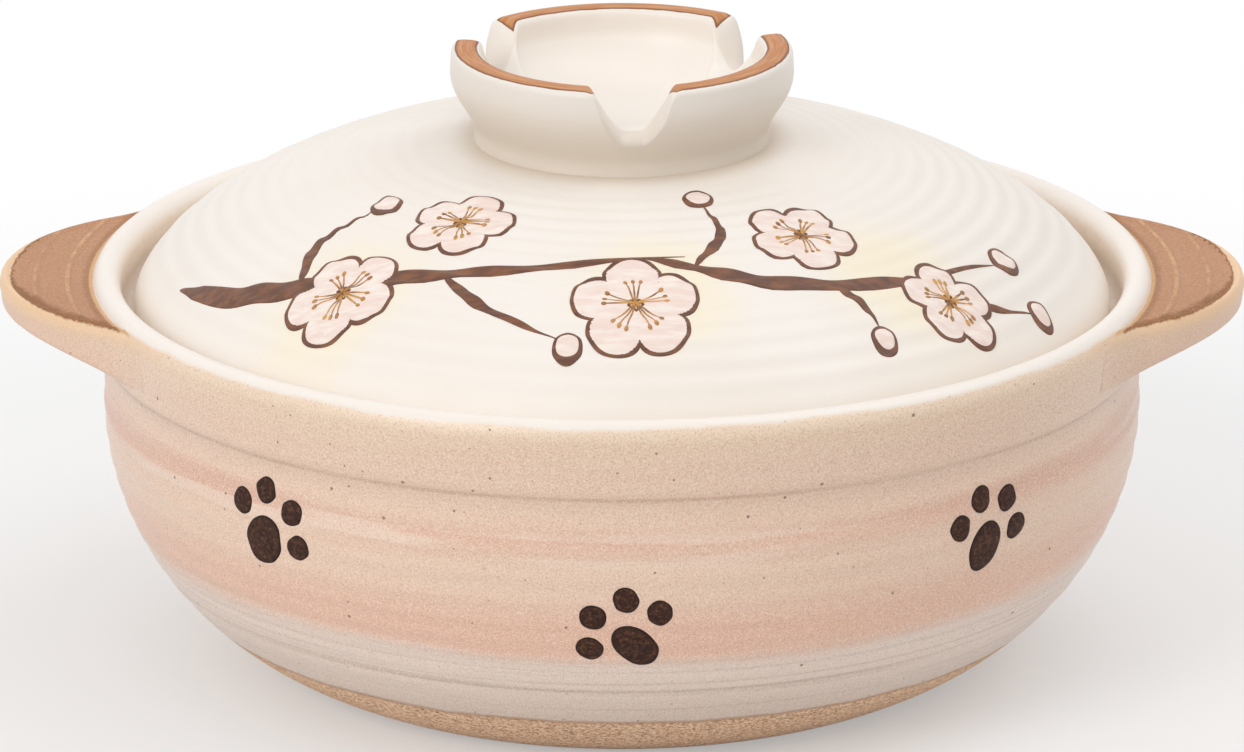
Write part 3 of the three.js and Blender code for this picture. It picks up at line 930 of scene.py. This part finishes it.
def lid_finish():
    finish = Finish("cream_lid_glaze")
    colour, grain = cream_glaze(finish)
    for wash_x, wash_y in WASHES:
        across, along = finish.x - wash_x, finish.y - wash_y
        distance = (across * across + along * along) ** 0.5 + (finish.grain(0.07, 2.0) - 0.5) * WASH_WANDER
        glow = (1 - distance.ease(0.3 * WASH_RADIUS, WASH_RADIUS)) * finish.z.ease(lid_edge - 1, lid_edge)
        colour = finish.mix(glow * 0.55, colour, WASH_YELLOW)
    # Painted shadow: darker round the foot of the knob, where the knob shades the lid
    painted_shadow = 1 - finish.radius.ease(KNOB_WAIST_RADIUS - 1, KNOB_WAIST_RADIUS + 8)
    painted_shadow = painted_shadow * finish.z.ease(knob_seat - 5, knob_seat - 3)
    colour = finish.mix(painted_shadow * 0.8, colour, PAINTED_SHADE_CREAM)
    seat = 1 - finish.z.ease(lid_seat + 0.1, lid_seat + 0.6)
    seat = seat * finish.radius.ease(hollow_radius - 1, hollow_radius)
    colour = finish.mix(seat, colour, BARE_CLAY)
    roughness = 0.42 + seat * 0.4 + (grain - 0.5) * 0.15
    return finish.shade(colour, roughness, grain, 0.02)


lid_glaze = lid_finish()

# %% Throw the lid and cut the steam hole
def steam_hole_cutter():
    """A round bar with a flared top, slanted along the dome at the back of the lid."""
    reach = STEAM_HOLE_FROM_AXIS
    slope = (lid_height(reach + 2) - lid_height(reach - 2)) / 4
    wide = STEAM_HOLE_RADIUS + STEAM_HOLE_ROUND
    flare = arc((wide, -STEAM_HOLE_ROUND), STEAM_HOLE_ROUND, STEAM_HOLE_ROUND, 180, 90, 6)
    bar = [(0, -CUTTER_DEPTH), (STEAM_HOLE_RADIUS, -CUTTER_DEPTH)]
    mesh = throw(bar + flare + [(wide, CUTTER_RISE), (0, CUTTER_RISE)], CUTTER_COLUMNS)
    for vert in mesh.verts:
        vert.co.z += lid_edge + dome(reach, lid_radius, LID_RISE) + slope * vert.co.y
        vert.co.y += reach
    return into_scene("steam_hole_cutter", mesh)


def make_lid():
    lid = piece("lid", throw(lid_profile(), WHEEL_COLUMNS), "lid", lid_glaze, "lid_dome")
    cutter = steam_hole_cutter()
    hole = lid.modifiers.new("steam_hole", "BOOLEAN")
    hole.operation = "DIFFERENCE"
    hole.object = cutter
    pierced = bpy.data.meshes.new_from_object(lid.evaluated_get(bpy.context.evaluated_depsgraph_get()))
    lid.modifiers.clear()
    lid.data = pierced
    bpy.data.objects.remove(cutter)
    print(f"lid pierced: {len(pierced.polygons)} faces")


make_lid()

# %% [markdown]
# ## The knob
# The knob is a thrown cup on a narrow foot, stuck on the lid with slip, with three notches cut through its
# wall for the fingers. Cutting them with Booleans leaves sharp edges, which glaze never has. Instead the
# wall itself is told how high it stands at each angle, so the rounded rim simply runs down into each notch
# and up again.

# %% Knob sizes, in millimetres
KNOB_WAIST_HEIGHT = 2.8
KNOB_FOOT_FLARE = 0.5
KNOB_FOOT_POWER = 2.2
KNOB_SWELL_POWER = 1.5
KNOB_BELLY_HEIGHT = 15.5
KNOB_RIM_WIDTH = 6.6
KNOB_RIM_ROUND = 2.4
KNOB_RIM_LEAN = 0.5
KNOB_RIM_POWER = 2 / 3
KNOB_FLOOR_HEIGHT = 6.2
KNOB_FLOOR_RADIUS = 17.0
KNOB_SINK = 0.4
NOTCH_COUNT = 3
NOTCH_DEPTH = 11.0
NOTCH_FLOOR = 5.1
NOTCH_FLARE = math.radians(20)
NOTCH_TURN = math.radians(-86)
NOTCH_CORNER = 9.0
NOTCH_SOFT = 2.0
NOTCH_CROWDING = 0.4
STRIPE_INSET = 0.75
STRIPE_FALL = 1.0
KNOB_COLUMNS = 480
KNOB_BLANK = (10, 30)
FOOT_ROWS, WALL_ROWS, RIM_ROWS, CUP_ROWS, FLOOR_ROWS = 2, 30, 28, 26, 5

knob_height = knob_high.z - knob_seat
knob_belly = knob_high.x
cup_radius = knob_belly - KNOB_RIM_LEAN - KNOB_RIM_WIDTH
cup_top = knob_height - KNOB_RIM_ROUND
print(f"knob: {knob_height:.1f} mm high, belly {knob_belly:.1f} mm")

# %% Shape of the knob
def knob_outside(height):
    """Radius of the knob's outside at a height above its foot."""
    if height < KNOB_WAIST_HEIGHT:
        below = 1 - max(0, height) / KNOB_WAIST_HEIGHT
        return KNOB_WAIST_RADIUS + KNOB_FOOT_FLARE * below ** KNOB_FOOT_POWER
    swell = (height - KNOB_WAIST_HEIGHT) / (KNOB_BELLY_HEIGHT - KNOB_WAIST_HEIGHT)
    if swell < 1:
        return lerp(KNOB_WAIST_RADIUS, knob_belly, math.sin(swell * math.pi / 2) ** KNOB_SWELL_POWER)
    above = (height - KNOB_BELLY_HEIGHT) / (knob_height - KNOB_BELLY_HEIGHT)
    return knob_belly - KNOB_RIM_LEAN * above ** 2


def knob_inside(height):
    """Radius of the cup at a height above the knob's foot."""
    drop = min(1, max(0, (cup_top - height) / (cup_top - KNOB_FLOOR_HEIGHT)))
    return lerp(KNOB_FLOOR_RADIUS, cup_radius, math.sqrt(1 - drop * drop))


def soft_least(first, second, soft):
    """The lower of two heights, with the corner between them rounded off."""
    blend = max(0, soft - abs(first - second))
    return min(first, second) - blend * blend / (4 * soft)


def wall_top(across):
    """Height of the knob's wall at a distance sideways from a notch's middle."""
    floor = knob_height - NOTCH_DEPTH
    side = floor + (abs(across) - NOTCH_FLOOR) / math.tan(NOTCH_FLARE)
    notch = -soft_least(-floor, -side, NOTCH_CORNER)
    return soft_least(notch, knob_height, NOTCH_SOFT)


print(f"knob wall {wall_top(knob_belly):.1f} mm high, {wall_top(0):.1f} mm in a notch")

# %% Rows of the knob, from the middle of its foot up the outside, over the rim and down into the cup
KNOB_ROWS = FOOT_ROWS + WALL_ROWS + RIM_ROWS + CUP_ROWS + FLOOR_ROWS


def knob_place(row, notch_turn):
    """Radius, height and rim position of a row at an angle from the nearest notch."""
    outer_top = wall_top(knob_belly * math.sin(notch_turn))
    inner_top = wall_top(cup_radius * math.sin(notch_turn))
    if row < FOOT_ROWS:
        return lerp(0, knob_outside(0), row / FOOT_ROWS), -KNOB_SINK, 1
    row -= FOOT_ROWS
    if row < WALL_ROWS:
        height = lerp(-KNOB_SINK, outer_top - KNOB_RIM_ROUND, row / WALL_ROWS)
        return knob_outside(height), height, 1
    row -= WALL_ROWS
    if row < RIM_ROWS:
        turn = math.pi * row / RIM_ROWS
        across = math.copysign(abs(math.cos(turn)) ** KNOB_RIM_POWER, math.cos(turn))
        share = (1 - across) / 2
        top = lerp(outer_top, inner_top, share)
        outer = knob_outside(outer_top - KNOB_RIM_ROUND)
        inner = knob_inside(inner_top - KNOB_RIM_ROUND)
        height = top - KNOB_RIM_ROUND * (1 - math.sin(turn) ** KNOB_RIM_POWER)
        return lerp(outer, inner, share), height, abs(across)
    row -= RIM_ROWS
    if row < CUP_ROWS:
        height = lerp(inner_top - KNOB_RIM_ROUND, KNOB_FLOOR_HEIGHT, math.sin(row / CUP_ROWS * math.pi / 2))
        return knob_inside(height), height, 1
    return lerp(KNOB_FLOOR_RADIUS, 0, (row - CUP_ROWS) / (FLOOR_ROWS - 1)), KNOB_FLOOR_HEIGHT, 1


print(f"the knob has {KNOB_ROWS} rows and {KNOB_COLUMNS} columns")

# %% The knob's finish
def knob_finish():
    finish = Finish("cream_knob_glaze")
    colour, grain = cream_glaze(finish)
    ragged = (finish.grain(0.35, 2.0, 0.6) - 0.5) * 0.35
    brush = finish.turned_streaks(1.4, 0.1)
    to_edge = finish.attribute("to_edge") + ragged
    stripe = to_edge.ease(0.0, 0.25)
    brown = finish.mix(to_edge.ease(0.15, 0.9), PAINT_DARK, PAINT_BROWN)
    brown = finish.mix(brush.ease(0.42, 0.62) * to_edge.ease(0.3, 1.0) * 0.8, brown, PAINT_PALE)
    # Painted shade: the knob's lower half faces down, away from the light, and is darker towards its foot
    low = 1 - finish.z.ease(knob_seat + 3, knob_seat + 26)
    low = low * finish.radius.ease(cup_radius - 1, cup_radius)
    colour = finish.mix(low * 0.62, colour, PAINTED_SHADE_CREAM)
    colour = finish.mix(stripe, colour, brown)
    roughness = 0.4 + stripe * 0.12 + (grain - 0.5) * 0.15
    return finish.shade(colour, roughness, grain + stripe, 0.03)


knob_glaze = knob_finish()

# %% Throw the knob and run its rim through the notches
def make_knob():
    last = KNOB_ROWS - 1
    blank = [(lerp(*KNOB_BLANK, math.sin(math.pi * row / last)), row) for row in range(KNOB_ROWS)]
    blank[0] = (0, 0)
    blank[-1] = (0, last)
    mesh = throw(blank, KNOB_COLUMNS)
    row_layer = mesh.verts.layers.int["row"]
    edge_layer = mesh.verts.layers.float.new("to_edge")
    sector = math.tau / NOTCH_COUNT
    for vert in mesh.verts:
        turn = math.atan2(vert.co.y, vert.co.x)
        share = (turn / sector + 0.5) % 1 - 0.5
        notch_turn = sector * share * lerp(NOTCH_CROWDING, 1, 2 * abs(share))
        turn = NOTCH_TURN + (round(turn / sector - share) * sector) + notch_turn
        radius, height, across = knob_place(vert[row_layer], notch_turn)
        middle = (knob_belly + cup_radius) / 2
        fall = knob_height - wall_top(middle * math.sin(notch_turn))
        stripe = (1 - across) * KNOB_RIM_WIDTH / 2
        vert[edge_layer] = min(stripe - STRIPE_INSET, STRIPE_FALL - fall)
        vert.co = (radius * math.cos(turn), radius * math.sin(turn), knob_seat + height)
    bmesh.ops.recalc_face_normals(mesh, faces=mesh.faces[:])
    return piece("knob", mesh, "lid", knob_glaze, "lid_knob")


make_knob()

# %% [markdown]
# ## Daubs of paint
# The marks on the pot are thick underglaze paint, put on with a loaded brush: each one is a low cushion
# with a crisp edge. Texture paint would blur, so a daub is a ball drawn out along a path and pressed flat
# on the clay. One helper makes a daub for any path and width, and a surface function lays it on the wall or
# on the dome.

# %% A daub on a surface
DAUB_EDGE = 0.4
PATH_STEP = 0.01
one_daub = bpy.data.meshes.new("one_daub")


def daub(mesh, path, width, lift, surface, across=16, along=24):
    """A ball drawn out along a path, so wide at each share of it, and pressed on a surface."""
    ball = bmesh.new()
    crown_layer = ball.verts.layers.float.new("crown")
    bmesh.ops.create_uvsphere(ball, u_segments=across, v_segments=along, radius=1)
    rings = {}
    for vert in ball.verts:
        vert[crown_layer] = 1 - math.hypot(vert.co.x, vert.co.z)
        share = (vert.co.z + 1) / 2
        ring = round(share, 4)
        if ring not in rings:
            ahead = path(min(1, share + PATH_STEP)) - path(max(0, share - PATH_STEP))
            sideways = Vector((-ahead.y, ahead.x)).normalized() * (width(share) / 2)
            rings[ring] = path(share), sideways
        middle, sideways = rings[ring]
        girth = math.hypot(vert.co.x, vert.co.y)
        side = vert.co.x / girth if girth > WELD else 0
        rise = vert.co.y / girth if girth > WELD else 0
        rise = math.copysign(abs(rise) ** DAUB_EDGE, rise)
        vert.co = surface(middle + sideways * side, rise * lift)
    bmesh.ops.recalc_face_normals(ball, faces=ball.faces[:])
    ball.to_mesh(one_daub)
    ball.free()
    mesh.from_mesh(one_daub)


def oval(share):
    """Width of an oval along its length, 1 in the middle."""
    return math.sqrt(max(0, 1 - (2 * share - 1) ** 2))


def oval_of(width):
    """The width of an oval daub at each share of its length."""
    return lambda share: width * oval(share)


def line_between(start, end):
    """A straight path between two points."""
    return lambda share: start.lerp(end, share)


print(f"an oval is {oval(0.25):.2f} of its width a quarter of the way along")

# %% [markdown]
# ## Paw prints on the wall
# Three paw prints walk round the front of the bowl and three round the back, each a pad and four toes in
# dark brown. They are drawn flat, in millimetres about the pad, then wrapped on the wall at a turn and a
# height. A little noise on the width keeps the edges from looking printed.

# %% Paw print finish and sizes
PAW_EDGE = paint(30, 14, 8)
PAW_BROWN = paint(42, 18, 8)
PAW_PALE = paint(122, 80, 56)
PAD_LENGTH = 12.0
TOE_WIDTH, TOE_LENGTH = 5.8, 6.3
TOE_ANGLES = (-64, -21, 21, 64)
TOE_REACH_OUTER, TOE_REACH_MIDDLE = 10.0, 11.8
TOE_OUTER_ANGLE = 40
TOE_LEAN = 0.4
PAW_LIFT = 0.22
HAND_UNEVEN = 0.1
WALL_STEP = 0.5


def paw_finish():
    finish = Finish("dark_brown_paint")
    crown = finish.attribute("crown")
    grain = finish.grain(1.1, 4.0, 0.8)
    hairs = finish.drawn_out(crown * 7, finish.x * 0.2, finish.z * 0.2)
    worn = hairs.ease(0.4, 0.75) * 0.2 + grain.ease(0.46, 0.68) * 0.6
    colour = finish.mix(worn, PAW_BROWN, PAW_PALE)
    colour = finish.mix((1 - crown.ease(0.02, 0.2)) * 0.8, colour, PAW_EDGE)
    return finish.shade(colour, 0.52 + grain * 0.2, grain + hairs, 0.05, 0.25)


paw_paint = paw_finish()

# %% Lay a print on the wall
def wall_surface(turn, height):
    """Wraps a flat drawing on the bowl's wall, with its middle at a turn from the front and a height."""
    def lay(spot, rise):
        at_height = height + spot.y
        radius = wall_radius(at_height)
        slope = (wall_radius(at_height + WALL_STEP) - wall_radius(at_height - WALL_STEP)) / (2 * WALL_STEP)
        outwards = Vector((1, -slope)).normalized() * rise
        angle = turn + spot.x / radius
        reach = radius + outwards.x
        return Vector((reach * math.sin(angle), -reach * math.cos(angle), at_height + outwards.y))
    return lay


def uneven(width, seed):
    """An oval width with a hand's unevenness."""
    return lambda share: width * oval(share) * (1 + HAND_UNEVEN * noise.noise(Vector((share * 3, seed, 0))))


def make_paw(name, turn, height, toes_lean, pad_lean, pad_width):
    surface = wall_surface(math.radians(turn), height)
    mesh = bmesh.new()
    lean = Matrix.Rotation(math.radians(-toes_lean), 2)
    pad_end = Matrix.Rotation(math.radians(-pad_lean), 2) @ Vector((0, PAD_LENGTH / 2))
    daub(mesh, line_between(-pad_end, pad_end), uneven(pad_width, turn), PAW_LIFT, surface)
    for toe, angle in enumerate(TOE_ANGLES):
        reach = TOE_REACH_OUTER if abs(angle) > TOE_OUTER_ANGLE else TOE_REACH_MIDDLE
        away = lean @ Matrix.Rotation(math.radians(-angle), 2) @ Vector((0, 1))
        along = lean @ Matrix.Rotation(math.radians(-angle * TOE_LEAN), 2) @ Vector((0, TOE_LENGTH / 2))
        middle = away * reach
        path = line_between(middle - along, middle + along)
        daub(mesh, path, uneven(TOE_WIDTH, turn + toe), PAW_LIFT, surface)
    return piece(name, mesh, "pot", paw_paint)


# %% Six prints, three in front and the same three behind
# Turn from the front, height, lean of the toes, lean of the pad and width of the pad
PAW_PLACES = (
    (-41.8, 54.5, 26, 26, 10.2),
    (1.4, 38.9, -31, -45, 8.6),
    (42.7, 52.4, 11, 17, 9.2),
)
for number in range(6):
    turn, *print_sizes = PAW_PLACES[number % 3]
    make_paw(f"paw_print_{number + 1}", turn + 180 * (number // 3), *print_sizes)


# %% [markdown]
# ## A blossom branch on the lid
# The lid carries brush painting in brown, pale pink and a wash of yellow. Here it is a plum branch, a
# subject that potters have painted for centuries: one long stroke that swells and thins, twigs, five
# petals to a flower, and buds. Each stroke is a daub along a curve, drawn as seen from above and laid on
# the dome.

# %% Lay a drawing on the dome
DOME_STEP = 0.2
STROKE_SWELL, STROKE_LIFT_OFF = (0, 0.3), (0.35, 1.05)
STROKE_START = 0.35
STROKE_THIN = 0.18
STROKE_END = 12
STROKE_UNEVEN = 0.25


def dome_surface(spot, rise):
    """Lays a point of the drawing on the lid's dome, seen from above."""
    radius = max(spot.length, 1)
    slope = (lid_height(radius + DOME_STEP) - lid_height(radius - DOME_STEP)) / (2 * DOME_STEP)
    outwards = Vector((-slope, 1)).normalized() * rise
    along = spot * ((radius + outwards.x) / radius)
    return Vector((along.x, along.y, lid_height(radius) + outwards.y))


def curve_through(points):
    """A smooth path through a few points."""
    knots = [Vector(point) for point in points]
    knots = [2 * knots[0] - knots[1]] + knots + [2 * knots[-1] - knots[-2]]
    spans = len(knots) - 3

    def path(share):
        position = min(max(share, 0), 1) * spans
        span = min(int(position), spans - 1)
        t = position - span
        a, b, c, d = knots[span:span + 4]
        bend = 2 * a - 5 * b + 4 * c - d
        twist = 3 * b - a - 3 * c + d
        return 0.5 * (2 * b + (c - a) * t + bend * t * t + twist * t ** 3)

    return path


def brush(widest, start, seed):
    """Width of a brush stroke: it lands at a share of its widest, swells and lifts off to a point."""
    def width(share):
        press = lerp(start, 1, ease(*STROKE_SWELL, share)) * (1 - ease(*STROKE_LIFT_OFF, share))
        ends = min(1, share * STROKE_END) ** 0.5 * min(1, (1 - share) * STROKE_END) ** 0.5
        shake = 1 + STROKE_UNEVEN * noise.noise(Vector((share * 7, seed, 3)))
        return widest * (STROKE_THIN + press) * ends * shake
    return width


stroke = brush(1, STROKE_START, 0)
print(f"a stroke of 1 mm is {stroke(0.3):.2f} mm wide where it swells, {stroke(0.9):.2f} mm near its end")

# %% Paints of the branch
BARK_BROWN = paint(98, 60, 42)
BARK_RED = paint(136, 86, 56)
PETAL_PINK = paint(243, 219, 208)
PETAL_PALE = paint(250, 238, 228)
STAMEN_GOLD = paint(214, 160, 84)


def brush_finish(name, dark, pale):
    finish = Finish(name)
    wash = finish.noise((0.12, 0.5, 0.5), 3.0, 0.6)
    colour = finish.mix(wash.ease(0.35, 0.7), dark, pale)
    return finish.shade(colour, 0.42 + wash * 0.1, wash, 0.02)


bark_paint = brush_finish("bark_brown_paint", BARK_BROWN, BARK_RED)
petal_paint = brush_finish("petal_pink_paint", PETAL_PINK, PETAL_PALE)
stamen_paint = brush_finish("stamen_gold_paint", STAMEN_GOLD, BARK_RED)

# %% Drawing of the branch, in millimetres from the lid's middle, seen from above
# A stroke has points and a greatest width, a blossom a place, a size and a turn, a bud a place and a size
BRANCH_STROKES = (
    (((-100, -34), (-86, -52), (-58, -66), (-22, -73), (14, -70)), 4.8),
    (((4, -71), (34, -75), (62, -64), (84, -42)), 3.6),
    (((-72, -59), (-68, -46), (-56, -38)), 2.4),
    (((-40, -71), (-30, -84), (-14, -95)), 2.2),
    (((16, -73), (22, -60), (18, -48)), 2.2),
    (((46, -71), (53, -75), (57, -80)), 2.0),
    (((66, -62), (80, -60), (92, -52)), 2.0),
)
BLOSSOMS = (
    (-62, -68, 12.5, 12),
    (-36, -52, 12, 40),
    (3, -86, 14, 5),
    (40, -56, 12, 60),
    (73, -64, 10.5, 25),
)
BUDS = (
    (-53, -37, 4.4),
    (-12, -97, 4.0),
    (86, -39, 4.2),
    (94, -50, 3.6),
    (17, -45, 4.2),
    (58, -83, 3.6),
)
BACK_STROKES = (
    (((44, 82), (18, 90), (-22, 90)), 3.4),
    (((8, 90), (-6, 82), (-22, 78)), 2.0),
)
BACK_BLOSSOMS = ((22, 92, 10, 20), (-12, 94, 9, 50))
BACK_BUDS = ((-26, 78, 3.6), (-28, 89, 3.4))
print(f"front: {len(BRANCH_STROKES)} strokes, {len(BLOSSOMS)} blossoms, {len(BUDS)} buds")

# %% Proportions of a stroke, a blossom and a bud
STROKE_LIFT, OUTLINE_LIFT, PETAL_LIFT = 0.15, 0.22, 0.3
STAMEN_LIFT, ANTHER_LIFT = 0.4, 0.45
PETALS = 5
PETAL_START, PETAL_REACH, PETAL_WIDTH = 0.08, 1.05, 1.02
ROOT_EDGE, TIP_EDGE, SIDE_EDGES = 0.5, 0.8, 1.5
STAMEN_SPREADS = (-14, 0, 14)
STAMEN_REACH, STAMEN_WIDTH = 0.5, 0.55
ANTHER_HALF_LENGTH, ANTHER_WIDTH = 0.6, 1.2
BUD_WIDTH, BUD_EDGES = 1.7, 1.4
BUD_LOW, BUD_HIGH = 0.5, 0.8
STROKE_MESH, PETAL_MESH, STAMEN_MESH, ANTHER_MESH = (16, 200), (28, 24), (8, 10), (8, 8)
print(f"a blossom of 12 mm has petals {12 * PETAL_WIDTH:.1f} mm wide, outlined {SIDE_EDGES / 2} mm wide")

# %% Paint the branch
def petal_width(size):
    """Width of a petal along its length: cut short at its root and broader towards its tip."""
    return lambda share: size * oval(min(1, share * 0.94 + 0.06)) * lerp(0.75, 1.1, share)


def paint_blossom(outline, petals, stamens, x, y, size, turn):
    middle = Vector((x, y))
    width = size * PETAL_WIDTH
    for petal in range(PETALS):
        away = Matrix.Rotation(math.radians(turn + 360 / PETALS * petal), 2) @ Vector((0, 1))
        root = middle + away * (size * PETAL_START)
        tip = middle + away * size * PETAL_REACH
        daub(outline, line_between(root, tip), petal_width(width), OUTLINE_LIFT, dome_surface, *PETAL_MESH)
        inside = line_between(root + away * ROOT_EDGE, tip - away * TIP_EDGE)
        daub(petals, inside, petal_width(width - SIDE_EDGES), PETAL_LIFT, dome_surface, *PETAL_MESH)
        for spread in STAMEN_SPREADS:
            ray = Matrix.Rotation(math.radians(spread), 2) @ away
            end = middle + ray * size * STAMEN_REACH
            thread = line_between(middle, end)
            daub(stamens, thread, oval_of(STAMEN_WIDTH), STAMEN_LIFT, dome_surface, *STAMEN_MESH)
            half = ray * ANTHER_HALF_LENGTH
            anther = line_between(end - half, end + half)
            daub(stamens, anther, oval_of(ANTHER_WIDTH), ANTHER_LIFT, dome_surface, *ANTHER_MESH)


def paint_bud(outline, petals, x, y, size):
    middle = Vector((x, y))
    up = Vector((0, size))
    width = size * BUD_WIDTH
    daub(outline, line_between(middle - up, middle + up), oval_of(width), OUTLINE_LIFT, dome_surface)
    inside = line_between(middle - up * BUD_LOW, middle + up * BUD_HIGH)
    daub(petals, inside, oval_of(width - BUD_EDGES), PETAL_LIFT, dome_surface)


def paint_branch(name, strokes, blossoms, buds):
    bark, petals, stamens = bmesh.new(), bmesh.new(), bmesh.new()
    for number, (points, widest) in enumerate(strokes):
        width = brush(widest, STROKE_START, number)
        daub(bark, curve_through(points), width, STROKE_LIFT, dome_surface, *STROKE_MESH)
    for blossom in blossoms:
        paint_blossom(bark, petals, stamens, *blossom)
    for bud in buds:
        paint_bud(bark, petals, *bud)
    piece(f"{name}_bark", bark, "lid", bark_paint)
    piece(f"{name}_petals", petals, "lid", petal_paint)
    piece(f"{name}_stamens", stamens, "lid", stamen_paint)


paint_branch("front_branch", BRANCH_STROKES, BLOSSOMS, BUDS)
paint_branch("back_branch", BACK_STROKES, BACK_BLOSSOMS, BACK_BUDS)
bpy.data.meshes.remove(one_daub)

# %% [markdown]
# ## Floor, light and camera
# The pot stands on a white sheet in a soft, bright studio. The world lights it from all round, more from
# above, and four round lamps model it: a key from the upper left, a low lamp at the left, a weak fill from
# the right and one high above. The floor looks a little brighter to the camera than it is lit, and it fades
# out a little way from the pot, so the background is the world's own white, while the contact shadow stays.

# %% The floor
FLOOR_SIZE = 1600.0
FLOOR_WHITE = paint(243, 243, 243)
FLOOR_FADE_START, FLOOR_FADE_END = 200.0, 420.0
FLOOR_GLOW = 0.35


def make_floor():
    finish = Finish("white_sheet")
    fibres = finish.grain(0.4, 2.0)
    white = finish.mix(fibres * 0.1, FLOOR_WHITE, LIP_WHITE)
    sheet = finish.node("ShaderNodeBsdfDiffuse", {}, {"Color": white})
    glow = finish.node("ShaderNodeEmission", {}, {"Color": (1, 1, 1, 1)})
    lit = finish.node("ShaderNodeMixShader", {}, {0: finish.seen() * FLOOR_GLOW, 1: sheet, 2: glow})
    clear = finish.node("ShaderNodeBsdfTransparent")
    fade = finish.radius.ease(FLOOR_FADE_START, FLOOR_FADE_END)
    surface = finish.node("ShaderNodeMixShader", {}, {0: fade, 1: lit, 2: clear})
    finish.node("ShaderNodeOutputMaterial", {}, {"Surface": surface})
    mesh = bmesh.new()
    bmesh.ops.create_grid(mesh, x_segments=2, y_segments=2, size=FLOOR_SIZE)
    floor = into_scene("floor", mesh)
    floor.data.materials.append(finish.material)
    print("floor", FLOOR_SIZE, "mm")


make_floor()

# %% World and lamps
SKY_LOW, SKY_HIGH = 0.46, 0.83
SKY_RISE = (-0.3, 0.9)
AIM = Vector((0, 0, 0.064))
# Name, place and size in metres, and power in watts
LAMPS = (
    ("key_lamp", (-1.2, -1.5, 1.1), 1.0, 11.4),
    ("side_lamp", (-1.2, -1.1, 0.25), 0.6, 0.6),
    ("fill_lamp", (1.6, -1.1, 0.25), 0.6, 0.2),
    ("top_lamp", (0.8, 0.2, 1.5), 1.2, 3.8),
)


def make_world():
    world = bpy.data.worlds.new("white_studio")
    world.use_nodes = True
    sky = Nodes(world.node_tree)
    direction = sky.node("ShaderNodeTexCoord", output="Generated")
    upwards = sky.node("ShaderNodeSeparateXYZ", {}, {0: direction}, "Z")
    light = upwards.ease(*SKY_RISE) * (SKY_HIGH - SKY_LOW) + SKY_LOW
    strength = light + sky.seen() * (1 - light)
    background = sky.node("ShaderNodeBackground", {}, {"Color": (1, 1, 1, 1), "Strength": strength})
    sky.node("ShaderNodeOutputWorld", {}, {"Surface": background})
    bpy.context.scene.world = world
    print(f"sky from {SKY_LOW} at the bottom to {SKY_HIGH} at the top")


def face_pot(made):
    """Turns a lamp or the camera towards the middle of the pot."""
    made.rotation_euler = (AIM - made.location).to_track_quat("-Z", "Y").to_euler()


def make_lamp(name, place, size, watts):
    lamp = bpy.data.lights.new(name, "AREA")
    lamp.shape = "DISK"
    lamp.size = size
    lamp.energy = watts
    made = bpy.data.objects.new(name, lamp)
    made.location = place
    face_pot(made)
    bpy.context.collection.objects.link(made)
    print(f"{name}: {watts} W")


make_world()
for lamp in LAMPS:
    make_lamp(*lamp)


# %% Camera at the photograph's angle
PHOTO_WIDTH = 1244
CAMERA_DISTANCE = 2.0
CAMERA_RISE = math.radians(17.8)
PIXELS_PER_METRE = 4324
SENSOR = 36.0

camera_data = bpy.data.cameras.new("camera")
camera_data.sensor_width = SENSOR
camera_data.lens = SENSOR * PIXELS_PER_METRE * CAMERA_DISTANCE / PHOTO_WIDTH
camera = bpy.data.objects.new("camera", camera_data)
camera.location = AIM + CAMERA_DISTANCE * Vector((0, -math.cos(CAMERA_RISE), math.sin(CAMERA_RISE)))
face_pot(camera)
bpy.context.collection.objects.link(camera)
bpy.context.scene.camera = camera
bpy.context.scene.view_settings.view_transform = "Standard"
print(f"lens {camera_data.lens:.1f} mm")
